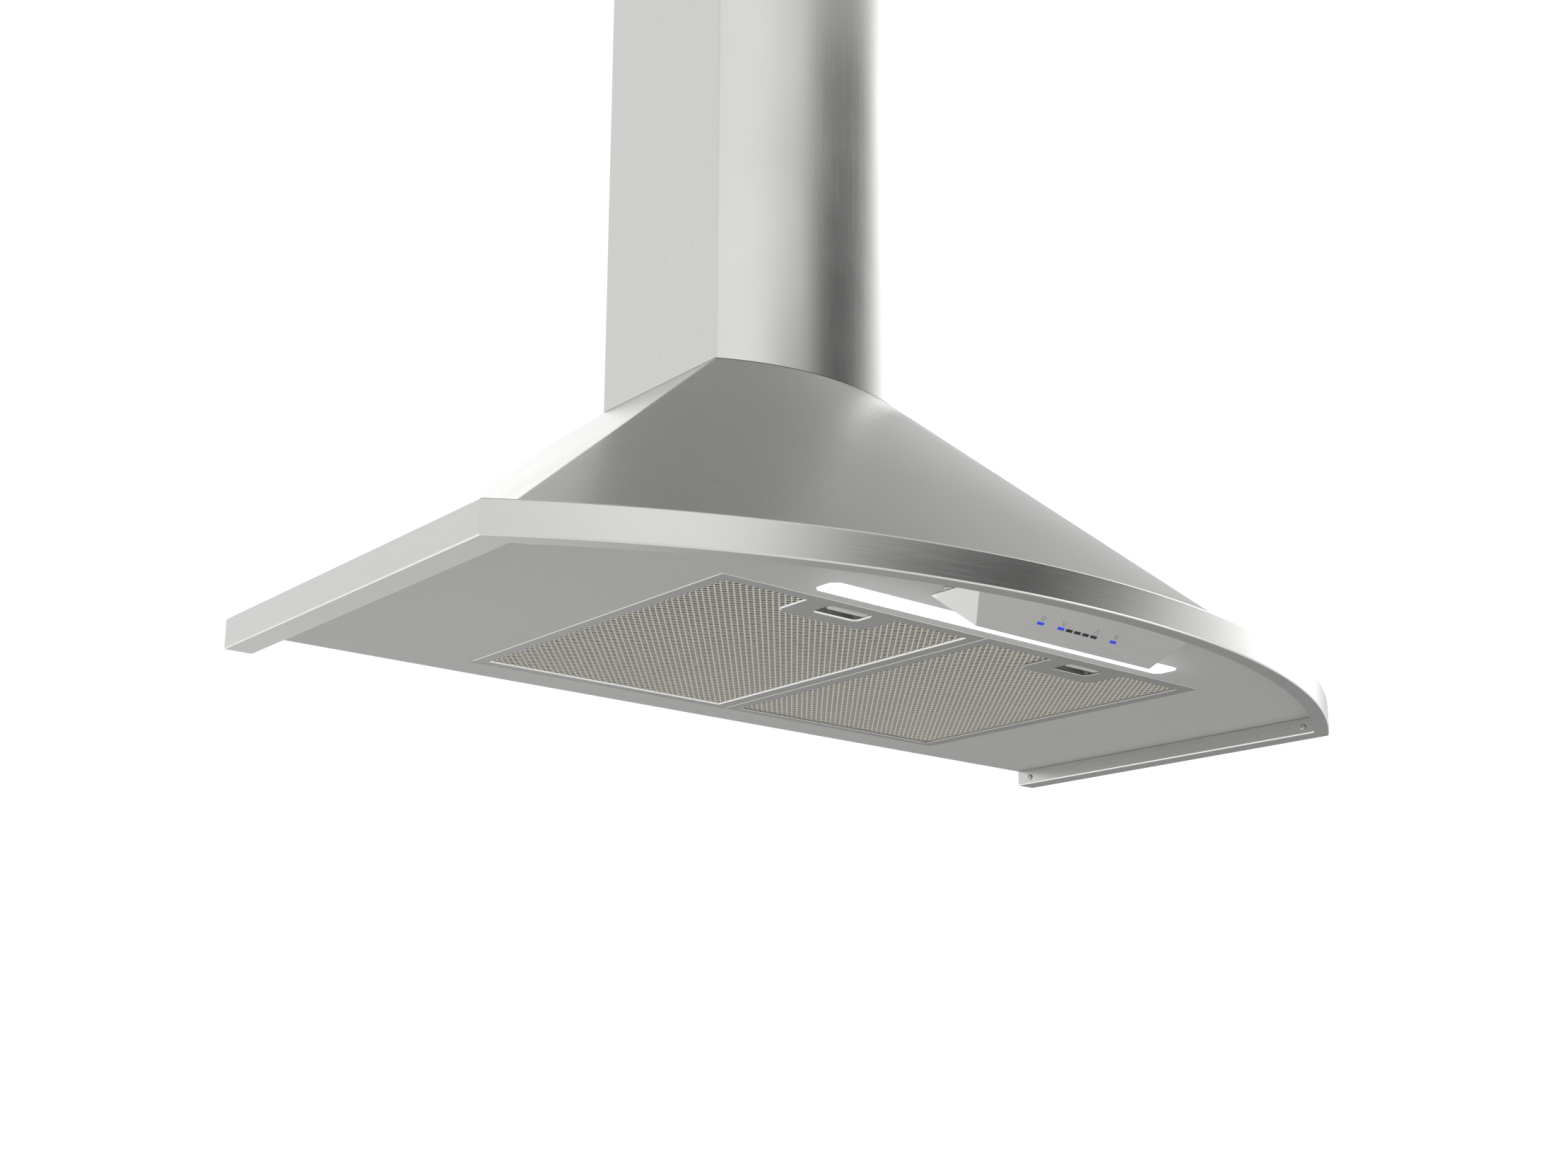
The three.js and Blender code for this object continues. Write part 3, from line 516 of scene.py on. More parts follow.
def bend(
    middle: tuple[float, float], radius: float, quarters: tuple[float, float], z: float, steps: int
) -> list[Vector]:
    """Points round one quarter turn of a level circle.

    Args:
        middle: x and y of its centre.
        radius: its radius.
        quarters: where it starts and ends, in quarter turns from the right.
        z: the points' height.
        steps: straight pieces in it.

    Returns:
        The points.
    """
    start, end = quarters
    points = []
    for step in range(steps + 1):
        angle = math.pi / 2 * (start + (end - start) * step / steps)
        x = middle[0] + radius * math.cos(angle)
        points.append(Vector((x, middle[1] + radius * math.sin(angle), z)))
    return points


RIM_INSIDE = Bow(0.4271, 0.3577, 0.1263)
Edges = list[bmesh.types.BMEdge]
Chain = list[bmesh.types.BMVert]


class Blank:
    """A mesh that is being shaped into one piece of the hood."""

    def __init__(self) -> None:
        """Starts empty."""
        self.mesh = bmesh.new()

    def chain(self, points: Sequence[Vector], closed: bool = False) -> Chain:
        """Vertices joined by edges through the given points."""
        made = [self.mesh.verts.new(point) for point in points]
        self.links(made, closed, True)
        return made

    def links(self, chain: Chain, closed: bool = False, new: bool = False) -> Edges:
        """The edges along a chain, which are made if they are new."""
        nexts = chain[1:] + chain[:1] if closed else chain[1:]
        find = self.mesh.edges.new if new else self.mesh.edges.get
        return [find(pair) for pair in zip(chain, nexts)]

    def columns(self, chains: Sequence[Chain], places: Sequence[int]) -> Edges:
        """The edges that join each of these places of the chains to the next chain."""
        return [edge for place in places for edge in self.links([chain[place] for chain in chains])]

    def fold(self, chain: Chain, points: Sequence[Vector], closed: bool = False) -> Chain:
        """Extrudes a chain of edges to new places.

        Args:
            chain: the vertices to extrude from.
            points: where each of them goes.
            closed: whether the chain is a loop.

        Returns:
            The new chain, in the same order.
        """
        made = bmesh.ops.extrude_edge_only(self.mesh, edges=self.links(chain, closed))
        fresh = {item for item in made["geom"] if isinstance(item, bmesh.types.BMVert)}
        moved = []
        for vertex, point in zip(chain, points):
            ends = [edge.other_vert(vertex) for edge in vertex.link_edges]
            partner = next(end for end in ends if end in fresh)
            partner.co = point
            moved.append(partner)
        return moved

    def fill(self, edges: Edges) -> None:
        """Fills the area between closed loops; a loop inside another is a hole."""
        bmesh.ops.triangle_fill(self.mesh, use_beauty=True, use_dissolve=True, edges=edges)

    def bevel(self, edges: Edges, radius: float, segments: int = 4) -> None:
        """Rounds edges with a radius."""
        bmesh.ops.bevel(
            self.mesh, geom=edges, offset=radius, offset_type="OFFSET", segments=segments,
            profile=0.5, affect="EDGES", material=-1, clamp_overlap=True,
        )

    def round_sharp(self, radius: float) -> None:
        """Rounds every edge at which the faces meet at a clear angle."""
        shared = [edge for edge in self.mesh.edges if len(edge.link_faces) == 2]
        self.bevel([edge for edge in shared if edge.calc_face_angle(0) > SOFTENED_ANGLE], radius, 2)

    def cut(self, place: Sequence[float], way: Sequence[float], clear_outer: bool = False) -> None:
        """Cuts every face along a plane, and drops what lies beyond it if asked."""
        parts = [*self.mesh.verts, *self.mesh.edges, *self.mesh.faces]
        bmesh.ops.bisect_plane(
            self.mesh, geom=parts, dist=MERGE_DISTANCE, plane_co=place, plane_no=way,
            clear_outer=clear_outer,
        )

    def drop_faces(self, unwanted: Callable[[Vector], bool]) -> None:
        """Deletes the faces whose middle the test picks out."""
        faces = [face for face in self.mesh.faces if unwanted(face.calc_center_median())]
        bmesh.ops.delete(self.mesh, geom=faces, context="FACES")

    def extrude(self, faces: Sequence[bmesh.types.BMFace], offset: Sequence[float]) -> None:
        """Extrudes faces by an offset."""
        made = bmesh.ops.extrude_face_region(self.mesh, geom=faces)["geom"]
        moved = [item for item in made if isinstance(item, bmesh.types.BMVert)]
        bmesh.ops.translate(self.mesh, vec=offset, verts=moved)

    def block(self, low: Vector, high: Vector) -> None:
        """A box between two corners."""
        place = Matrix.Translation((low + high) / 2) @ Matrix.Diagonal((*(high - low), 1.0))
        bmesh.ops.create_cube(self.mesh, size=1.0, matrix=place)

    def prism(self, foot: Sequence[Vector], head: Sequence[Vector]) -> None:
        """A closed body between two outlines."""
        low = self.chain(foot, closed=True)
        high = self.fold(low, head, closed=True)
        self.mesh.faces.new(low)
        self.mesh.faces.new(high)
        self.tidy()

    def turned(self, profile: Sequence[tuple[float, float]], place: Matrix, steps: int) -> None:
        """A body turned about its own Z axis.

        Args:
            profile: radius and height of each point of its closed outline, counter-clockwise.
            place: where the body goes.
            steps: straight pieces in a full turn.
        """
        start = self.chain([place @ Vector((r, 0, h)) for r, h in profile], closed=True)
        bmesh.ops.spin(
            self.mesh, geom=start + self.links(start, True), cent=place.translation,
            axis=place.to_3x3() @ Vector((0, 0, 1)), angle=math.tau, steps=steps, use_merge=True,
        )
        self.tidy()

    def tidy(self) -> None:
        """Merges doubles and turns every face outwards."""
        bmesh.ops.remove_doubles(self.mesh, verts=self.mesh.verts, dist=MERGE_DISTANCE)
        bmesh.ops.recalc_face_normals(self.mesh, faces=self.mesh.faces)

    def face_towards(self, point: Sequence[float], way: Sequence[float]) -> None:
        """Turns a sheet over, if needed, so that its face nearest a point looks the given way."""
        place = Vector(point)
        nearest = min(self.mesh.faces, key=lambda face: (face.calc_center_median() - place).length)
        nearest.normal_update()
        if nearest.normal.dot(Vector(way)) < 0:
            bmesh.ops.reverse_faces(self.mesh, faces=self.mesh.faces)

    def finish(
        self, name: str, body: str, look: Finish, stands_for: Sequence[str] = (), sheet: float = 0.0
    ) -> None:
        """Makes the piece, dresses it and puts it on its body.

        Args:
            name: the piece's name.
            body: the frame body that it rides on.
            look: its finish.
            stands_for: the frame nodes that it replaces.
            sheet: thickness given to it behind its faces, or 0 for a closed body.
        """
        data = bpy.data.meshes.new(name)
        self.mesh.to_mesh(data)
        self.mesh.free()
        piece = add_object(name, data)
        if sheet:
            settle(piece, "SOLIDIFY", {"thickness": sheet, "offset": -1.0, "use_even_offset": True})
        piece.data.shade_smooth()
        piece.data.set_sharp_from_angle(angle=SHARP_ANGLE)
        settle(piece, "WEIGHTED_NORMAL", {"keep_sharp": True, "weight": NORMAL_WEIGHT})
        piece.data.materials.append(look.material())
        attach(piece, body)
        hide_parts(*stands_for)
        LOG.info("%s rides on %s with %d faces", name, body, len(piece.data.polygons))


def add_object(name: str, data: bpy.types.ID) -> bpy.types.Object:
    """A new object in the scene that shows the given data."""
    made = bpy.data.objects.new(name, data)
    bpy.context.scene.collection.objects.link(made)
    return made


def settle(piece: bpy.types.Object, kind: str, settings: dict) -> None:
    """Runs one modifier on a piece and keeps its result as the piece's mesh.

    Args:
        piece: the object.
        kind: the modifier's type.
        settings: its properties.
    """
    modifier = piece.modifiers.new(kind.lower(), kind)
    for name, value in settings.items():
        setattr(modifier, name, value)
    graph = bpy.context.evaluated_depsgraph_get()
    graph.update()
    made = bpy.data.meshes.new_from_object(piece.evaluated_get(graph), depsgraph=graph)
    made.name = piece.name
    piece.modifiers.clear()
    piece.data = made


def dress_node(name: str, look: Finish) -> None:
    """Gives a frame node that keeps its shape a finish."""
    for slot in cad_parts[name].material_slots:
        slot.material = look.material()
    LOG.info("%s keeps its shape", name)


# ---- rim, canopy and covers


@dataclass
class Rim:
    """Folded band round three sides: ledge, face, underside flange and inner wall."""

    rise: float = 0.1376
    ledge: float = 0.02
    sheet: float = 0.0012
    fold_radius: float = 0.0014

    def build(self) -> None:
        """Folds the band along the bow, from the ledge down round to the inner wall."""
        low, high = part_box("rim_band")
        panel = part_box("underside_panel")[0].z
        outer = Bow.of("rim_band", self.rise)
        blank = Blank()
        chains = [blank.chain(RIM_INSIDE.inset(self.ledge).points(high.z))]
        for outline, z in (
            (outer, high.z), (outer, low.z), (RIM_INSIDE, low.z), (RIM_INSIDE, panel - GAP),
        ):
            chains.append(blank.fold(chains[-1], outline.points(z)))
        folds = [edge for chain in chains[1:-1] for edge in blank.links(chain)]
        blank.bevel(folds + blank.columns(chains, (1, -2)), self.fold_radius)
        blank.face_towards((0, low.y, (low.z + high.z) / 2), (0, -1, 0))
        blank.finish("rim_band_steel", "hood", RIM_STEEL, ["rim_band"], self.sheet)


@dataclass
class Canopy:
    """Sloping sheet from the rim up to the duct cover."""

    foot_rise: float = 0.136
    head: Bow = Bow(0.114, 0.1617, 0.0308)
    rows: int = 10
    sheet: float = 0.0015
    hip_radius: float = 0.0015

    def build(self) -> None:
        """Draws the foot outline up to the head in level rows, then rounds the hips."""
        low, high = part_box("canopy_shell")
        foot = Bow.of("canopy_shell", self.foot_rise).points(low.z)
        head = self.head.points(high.z)
        blank = Blank()
        chains = [blank.chain(foot)]
        for row in range(1, self.rows + 1):
            places = [a.lerp(b, row / self.rows) for a, b in zip(foot, head)]
            chains.append(blank.fold(chains[-1], places))
        blank.bevel(blank.columns(chains, (1, -2)), self.hip_radius)
        blank.face_towards((0, -self.head.side, high.z), (0, -1, 1))
        blank.finish("canopy_steel", "hood", LEVEL_STEEL, ["canopy_shell"], self.sheet)


@dataclass
class DuctCover:
    """Three-sided cover with a narrow hem along each rear edge."""

    node: str
    body: str
    rise: float
    sheet: float = 0.001
    hem: float = 0.015
    corner_radius: float = 0.0013

    def build(self) -> None:
        """Draws the outline with its hems straight up."""
        low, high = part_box(self.node)
        outline = Bow(high.x, high.y - low.y - self.rise, self.rise)
        shift = Vector((0, high.y, 0))
        rings = []
        for z in (low.z, high.z):
            points = outline.points(z)
            hems = [points[0] + Vector((self.hem, 0, 0)), points[-1] - Vector((self.hem, 0, 0))]
            rings.append([point + shift for point in (hems[0], *points, hems[1])])
        blank = Blank()
        foot = blank.chain(rings[0])
        chains = (foot, blank.fold(foot, rings[1]))
        blank.bevel(blank.columns(chains, (1, 2, -3, -2)), self.corner_radius)
        blank.face_towards((0, low.y, high.z), (0, -1, 0))
        blank.finish(f"{self.node}_steel", self.body, UPRIGHT_STEEL, [self.node], self.sheet)


# ---- underside


@dataclass
class UndersidePanel:
    """Flat panel with the filter bay, the light slot and the control cut-out."""

    over: float = 0.008
    bay_half: float = 0.2603
    bay_front: float = -0.3553
    bay_rear: float = -0.0347
    slot_gap: float = 0.0003
    control_margin: float = 0.008
    sheet: float = 0.0012

    def build(self) -> None:
        """Fills the bow outline round its three openings."""
        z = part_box("underside_panel")[0].z
        low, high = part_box("control_housing")
        margin = Vector((self.control_margin, self.control_margin, 0))
        bay = (Vector((-self.bay_half, self.bay_front, 0)), Vector((self.bay_half, self.bay_rear, 0)))
        blank = Blank()
        edges: Edges = []
        for points in (
            RIM_INSIDE.inset(-self.over).points(z), rectangle(*bay, z),
            LightBar().outline(z, self.slot_gap), rectangle(low + margin, high - margin, z),
        ):
            edges += blank.links(blank.chain(points, closed=True), True)
        blank.fill(edges)
        blank.face_towards((0, self.bay_front, z), (0, 0, -1))
        blank.finish("underside_panel_steel", "hood", PANEL_STEEL, ["underside_panel"], self.sheet)


@dataclass
class LightBar:
    """Lit opal diffuser with cut corners in the panel's slot."""

    corner: float = 0.005
    lip: float = 0.0036
    edge_radius: float = 0.0003

    def outline(self, z: float, grow: float = 0.0) -> list[Vector]:
        """The diffuser's outline with its corners cut.

        Args:
            z: its height.
            grow: how far it is moved out.

        Returns:
            Its eight corners.
        """
        low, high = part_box("light_lens")
        reach, cut = self.lip + GAP - grow, self.corner
        low, high = low + Vector((reach, reach, 0)), high - Vector((reach, reach, 0))
        corners = [
            (low.x + cut, low.y), (high.x - cut, low.y), (high.x, low.y + cut), (high.x, high.y - cut),
            (high.x - cut, high.y), (low.x + cut, high.y), (low.x, high.y - cut), (low.x, low.y + cut),
        ]
        return [Vector((x, y, z)) for x, y in corners]

    def build(self) -> None:
        """Raises the cut outline into a thin block with a softened edge."""
        blank = Blank()
        blank.prism(*[self.outline(corner.z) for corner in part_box("light_lens")])
        blank.round_sharp(self.edge_radius)
        blank.finish("light_diffuser", "hood", OPAL, ["light_lens"])


Stroke = list[tuple[float, float]]
POWER_RING = (0.8, 40, 320)
POWER_STEM = (1.1, 0.1)
LAMP_RING = (0.5, 1, 359)
LAMP_RAYS = (0.8, 1.15)
RAY_TURN = 45


class Symbol(Enum):
    """A printed symbol, by the indicator below it."""

    POWER = "power_indicator"
    SLOWER = "fan_bar_1"
    FASTER = "fan_bar_5"
    LAMP = "light_indicator"

    def strokes(self, size: float) -> list[Stroke]:
        """The symbol's lines about its middle.

        Args:
            size: half its height.

        Returns:
            One path for each line.
        """
        if self is Symbol.SLOWER:
            return [[(-size, size), (0, -size), (size, size)]]
        if self is Symbol.FASTER:
            return [[(-size, -size), (0, size), (size, -size)]]
        if self is Symbol.POWER:
            return [arc(size, *POWER_RING), [(0, size * share) for share in POWER_STEM]]
        rays = [[radial(size * r, angle) for r in LAMP_RAYS] for angle in range(0, 360, RAY_TURN)]
        return [arc(size, *LAMP_RING), *rays]


def radial(radius: float, degrees: float) -> tuple[float, float]:
    """A point at a radius and at an angle from straight up."""
    angle = math.radians(degrees)
    return radius * math.sin(angle), radius * math.cos(angle)


def arc(size: float, share: float, start: float, end: float, steps: int = 20) -> Stroke:
    """A path along a circle, whose radius is a share of a size, between two angles in degrees."""
    return [radial(size * share, start + (end - start) * i / steps) for i in range(steps + 1)]


@dataclass
class ControlHousing:
    """Hip-ended wedge below the panel, with touch symbols on its front face."""

    ridge_half: float = 0.0954
    ridge_y: float = -0.431
    ridge_flat: float = 0.0006
    hip_radius: float = 0.0007
    wall: float = 0.0015
    symbol: float = 0.0022
    stroke: float = 0.00015
    print_height: float = 0.00008
    symbol_reach: float = 0.0046

    def build(self) -> None:
        """Draws the base down to the ridge and rounds the hips, then prints the symbols."""
        low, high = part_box("control_housing")
        blank = Blank()
        base = blank.chain(rectangle(low, high, high.z), closed=True)
        half = Vector((self.ridge_half, self.ridge_flat / 2, 0))
        middle = Vector((0, self.ridge_y, 0))
        ridge = blank.fold(base, rectangle(middle - half, middle + half, low.z), closed=True)
        hips = blank.columns((base, ridge), range(4))
        bottom = blank.mesh.faces.new(ridge)
        bmesh.ops.recalc_face_normals(blank.mesh, faces=blank.mesh.faces)
        blank.bevel([*hips, *bottom.edges], self.hip_radius)
        blank.face_towards((0, self.ridge_y, low.z), (0, 0, -1))
        blank.finish("control_housing_steel", "hood", LEVEL_STEEL, ["control_housing"], self.wall)
        for symbol in Symbol:
            self.print_symbol(symbol)

    def face_place(self, node: str) -> Matrix:
        """The place of a node on the front face: axes run right, up the face and outwards.

        Args:
            node: a frame node that is set in the face.

        Returns:
            The matrix from the face's axes to the hood's.
        """
        low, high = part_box("control_housing")
        middle = sum(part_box(node), Vector()) / 2
        foot = Vector((middle.x, self.ridge_y - self.ridge_flat / 2, low.z))
        up = (Vector((middle.x, low.y, high.z)) - foot).normalized()
        right = Vector((1, 0, 0))
        axes = Matrix((right, up, right.cross(up))).transposed().to_4x4()
        return Matrix.Translation(foot + up * up.dot(middle - foot)) @ axes

    def print_symbol(self, symbol: Symbol) -> None:
        """Prints one symbol above its indicator."""
        blank = Blank()
        place = self.face_place(symbol.value) @ Matrix.Translation((0, self.symbol_reach, 0))
        for stroke in symbol.strokes(self.symbol):
            self.draw(blank, stroke, place)
        blank.finish(f"{symbol.name.lower()}_symbol", "hood", SYMBOL)

    def draw(self, blank: Blank, stroke: Stroke, place: Matrix) -> None:
        """Lays one printed line of even width along a path on the face.

        Args:
            blank: the mesh that it joins.
            stroke: the path in the face's own axes.
            place: from those axes to the hood's.
        """
        path = [Vector((*point, 0)) for point in stroke]
        sides: list[list[Vector]] = [[], []]
        for i, point in enumerate(path):
            before, after = path[max(i - 1, 0)], path[min(i + 1, len(path) - 1)]
            heading = (after - before).normalized()
            across = Vector((-heading.y, heading.x, 0)) * self.stroke
            sides[0].append(place @ (point + across))
            sides[1].append(place @ (point - across))
        known = set(blank.mesh.faces)
        blank.fold(blank.chain(sides[0]), sides[1])
        fresh = [face for face in blank.mesh.faces if face not in known]
        blank.extrude(fresh, place.to_3x3() @ Vector((0, 0, self.print_height)))
        bmesh.ops.recalc_face_normals(blank.mesh, faces=blank.mesh.faces)


@dataclass
class IndicatorWindow:
    """A small window in the housing's front face, with softened edges."""

    node: str
    look: Finish
    length: float = 0.007
    width: float = 0.0025
    depth: float = 0.0019
    proud: float = 0.00015
    edge_radius: float = 0.0002

    def build(self) -> None:
        """Rounds a thin block and sets it in the face."""
        half = Vector((self.length / 2, self.width / 2, 0))
        blank = Blank()
        blank.block(-half - Vector((0, 0, self.depth)), half + Vector((0, 0, self.proud)))
        blank.round_sharp(self.edge_radius)
        place = ControlHousing().face_place(self.node)
        bmesh.ops.transform(blank.mesh, matrix=place, verts=blank.mesh.verts)
        blank.finish(f"{self.node}_window", "hood", self.look, [self.node])


# ---- grease filters


@dataclass
class GreaseFilter:
    """Aluminium frame with a grip plate, a finger cup and a diamond mesh pack."""

    side: str
    border: float = 0.0125
    rear_border: float = 0.0075
    grip_width: float = 0.088
    grip_rear: float = -0.307
    grip_radius: float = 0.01
    grip_steps: int = 8
    cup_width: float = 0.042
    cup_front: float = -0.342
    cup_rear: float = -0.323
    cup_top: float = 0.008
    cup_radius: float = 0.004
    cup_steps: int = 5
    lip: float = 0.0016
    sheet: float = 0.0008
    edge_radius: float = 0.0015
    net_width: float = 0.0059
    net_length: float = 0.0068
    strand: float = 0.0016
    strand_lift: float = 0.0004
    mesh_sheet: float = 0.00015
    layer_gap: float = 0.0012
    notch_slack: float = 0.0015

    @property
    def body(self) -> str:
        """The frame body that carries the filter."""
        return f"filter_{self.side}"

    @property
    def notch(self) -> tuple[float, float, float]:
        """The left, the right and the rear of the pack's notch round the cup."""
        low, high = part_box(f"filter_pack_{self.side}")
        middle, half = (low.x + high.x) / 2, self.cup_width / 2 + self.notch_slack
        return middle - half, middle + half, self.cup_rear + self.notch_slack

    def build(self) -> None:
        """Builds the frame and its mesh pack."""
        self.build_frame()
        low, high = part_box(f"filter_pack_{self.side}")
        self.build_net(f"filter_mesh_{self.side}", low.z, 1, [f"filter_pack_{self.side}"])
        self.build_net(f"filter_upper_mesh_{self.side}", high.z, -1, [])
        self.build_core()

    def opening(self, z: float) -> list[Vector]:
        """The mesh opening's outline, with the grip plate's rounded step in its front edge."""
        low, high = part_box(f"filter_frame_{self.side}")
        middle = (low.x + high.x) / 2
        x0, x1 = low.x + self.border, high.x - self.border
        front, rear = low.y + self.border, high.y - self.rear_border
        left, right = middle - self.grip_width / 2, middle + self.grip_width / 2
        radius, y = self.grip_radius, self.grip_rear - self.grip_radius
        return [
            Vector((x0, rear, z)), Vector((x0, front, z)), Vector((left, front, z)),
            *bend((left + radius, y), radius, (2, 1), z, self.grip_steps),
            *bend((right - radius, y), radius, (1, 0), z, self.grip_steps),
            Vector((right, front, z)), Vector((x1, front, z)), Vector((x1, rear, z)),
        ]

    def cup(self, z: float) -> list[Vector]:
        """The finger cup's outline, with its corners rounded."""
        low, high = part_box(f"filter_frame_{self.side}")
        middle, half = (low.x + high.x) / 2, self.cup_width / 2 - self.cup_radius
        left, right = middle - half, middle + half
        rear, front = self.cup_rear - self.cup_radius, self.cup_front + self.cup_radius
        points = []
        for quarter, place in enumerate(((right, rear), (left, rear), (left, front), (right, front))):
            points += bend(place, self.cup_radius, (quarter, quarter + 1), z, self.cup_steps)
        return points

    def build_frame(self) -> None:
        """Fills the underside round the opening and the cup, then folds walls, lip and cup up."""
        low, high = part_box(f"filter_frame_{self.side}")
        blank = Blank()
        outlines = (rectangle(low, high, low.z), self.opening(low.z), self.cup(low.z))
        outer, opening, cup = [blank.chain(points, closed=True) for points in outlines]
        folds = [edge for chain in (outer, opening, cup) for edge in blank.links(chain, True)]
        blank.fill(folds)
        blank.face_towards((low.x, low.y, low.z), (0, 0, -1))
        wall = blank.fold(outer, rectangle(low, high, high.z - self.sheet), closed=True)
        inner_low = low + Vector((self.border, self.border, 0))
        inner_high = high - Vector((self.border, self.rear_border, 0))
        blank.fold(wall, rectangle(inner_low, inner_high, high.z - self.sheet), closed=True)
        blank.fold(opening, self.opening(low.z + self.lip), closed=True)
        ceiling = blank.fold(cup, self.cup(low.z + self.cup_top - self.sheet), closed=True)
        blank.mesh.faces.new(ceiling)
        bmesh.ops.recalc_face_normals(blank.mesh, faces=blank.mesh.faces)
        blank.bevel(folds + blank.columns((outer, wall), range(4)), self.edge_radius)
        blank.face_towards((low.x, low.y, low.z), (0, 0, -1))
        name = f"filter_frame_{self.side}"
        blank.finish(f"{name}_aluminium", self.body, FRAME_ALUMINIUM, [name], self.sheet)

    def build_net(self, name: str, height: float, inwards: int, replaced: list[str]) -> None:
        """A diamond net whose strands bend inwards at their holes, cut to the pack's outline.

        Args:
            name: what the piece is called.
            height: the level of its outer face.
            inwards: 1 if the inside of the pack is above the net, -1 if it is below.
            replaced: the nodes that it stands for.
        """
        low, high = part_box(f"filter_pack_{self.side}")
        middle = (low + high) / 2
        reach = (high.x - low.x) / 2 / self.net_width + (high.y - low.y) / 2 / self.net_length
        half = math.ceil(reach) + 1
        blank = Blank()
        bmesh.ops.create_grid(blank.mesh, x_segments=2 * half, y_segments=2 * half, size=half)
        for vertex in blank.mesh.verts:
            column, row = vertex.co.x, vertex.co.y
            x = middle.x + (column - row) * self.net_width / 2
            y = middle.y + (column + row) * self.net_length / 2
            vertex.co = Vector((x, y, height))
        blank.drop_faces(lambda at: not (
            abs(at.x - middle.x) < (high.x - low.x + self.net_width) / 2
            and abs(at.y - middle.y) < (high.y - low.y + self.net_length) / 2
        ))
        holes = list(blank.mesh.faces)
        bmesh.ops.inset_individual(blank.mesh, faces=holes, thickness=self.strand / 2, use_even_offset=True)
        for vertex in {corner for hole in holes for corner in hole.verts}:
            vertex.co.z += self.strand_lift * inwards
        bmesh.ops.delete(blank.mesh, geom=holes, context="FACES")
        for place, way in ((low, (-1, 0, 0)), (low, (0, -1, 0)), (high, (1, 0, 0)), (high, (0, 1, 0))):
            blank.cut(place, way, clear_outer=True)
        left, right, rear = self.notch
        sides = (((left, 0, 0), (1, 0, 0)), ((right, 0, 0), (1, 0, 0)), ((0, rear, 0), (0, 1, 0)))
        for place, way in sides:
            blank.cut(place, way)
        blank.drop_faces(lambda at: left < at.x < right and at.y < rear)
        blank.mesh.normal_update()
        for face in blank.mesh.faces:
            if face.normal.z * inwards > 0:
                face.normal_flip()
        blank.finish(name, self.body, MESH_ALUMINIUM, replaced, self.mesh_sheet)

    def build_core(self) -> None:
        """The inner layers of the pack, between the two nets, coloured near black as painted shade."""
        low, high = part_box(f"filter_pack_{self.side}")
        left, right, rear = self.notch
        outline = (
            (low.x, low.y), (left, low.y), (left, rear), (right, rear),
            (right, low.y), (high.x, low.y), (high.x, high.y), (low.x, high.y),
        )
        inset = self.strand_lift + self.layer_gap
        blank = Blank()
        blank.prism(*[[Vector((*at, z)) for at in outline] for z in (low.z + inset, high.z - inset)])
        blank.finish(f"filter_layers_{self.side}", self.body, SHADED_LAYERS)


@dataclass
class LatchPull:
    """Sliding finger pull: a rounded bar with a groove for the fingertip along its front."""

    side: str
    end_radius: float = 0.0034
    end_segments: int = 6
    edge_radius: float = 0.0007
    groove_edge: float = 0.0011
    groove_width: float = 0.0016
    groove_depth: float = 0.0014

    def build(self) -> None:
        """Rounds a block's ends, then sinks the groove into its underside."""
        node = f"latch_pull_{self.side}"
        low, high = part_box(node)
        blank = Blank()
        blank.block(low, high)
        upright = [edge for edge in blank.mesh.edges if edge.verts[0].co.xy == edge.verts[1].co.xy]
        blank.bevel(upright, self.end_radius, self.end_segments)
        bottom = min(blank.mesh.faces, key=lambda face: face.calc_center_median().z)
        bmesh.ops.inset_region(blank.mesh, faces=[bottom], thickness=self.groove_edge, use_even_offset=True)
        front = low.y + self.groove_edge
        share = self.groove_width / (high.y - low.y - 2 * self.groove_edge)
        for vertex in bottom.verts:
            vertex.co.y = front + (vertex.co.y - front) * share
        blank.extrude([bottom], (0, 0, self.groove_depth))
        blank.tidy()
        blank.round_sharp(self.edge_radius)
        blank.finish(f"{node}_aluminium", f"latch_{self.side}", PULL_ALUMINIUM, [node])


# ---- fasteners


class Facing(Enum):
    """The way that a screw's head looks."""

    LEFT = (-1.0, 0.0, 0.0)
    RIGHT = (1.0, 0.0, 0.0)
    DOWN = (0.0, 0.0, -1.0)


@dataclass
class PanScrew:
    """Pan-head screw with a round socket."""

    node: str
    facing: Facing
    head: float = 0.0028
    depth: float = 0.0015
    shank: float = 0.0014
    socket: float = 0.001
    socket_depth: float = 0.0009
    tip: tuple[float, float] = (0.6, 0.88)
    crown: tuple[tuple[float, float], ...] = ((1, 1), (1, 0.62), (0.93, 0.3), (0.75, 0.08), (0.5, 0))
    steps: int = 28

    def build(self) -> None:
        """Turns the head and the shank in one profile."""
        low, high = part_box(self.node)
        way = Vector(self.facing.value)
        middle = (low + high) / 2
        top = Vector([high[i] if way[i] > 0 else low[i] if way[i] < 0 else middle[i] for i in range(3)])
        length = abs((high - low).dot(way))
        place = Matrix.Translation(top) @ way.to_track_quat("Z", "Y").to_matrix().to_4x4()
        profile = [
            (0, -length), (self.shank * self.tip[0], -length), (self.shank, -length * self.tip[1]),
            (self.shank, -self.depth),
            *[(self.head * across, -self.depth * down) for across, down in self.crown],
            (self.socket, 0), (self.socket, -self.socket_depth), (0, -self.socket_depth),
        ]
        blank = Blank()
        blank.turned(profile, place, self.steps)
        blank.finish(f"{self.node}_plated", "hood", PLATED, [self.node])


# ---- inside and behind


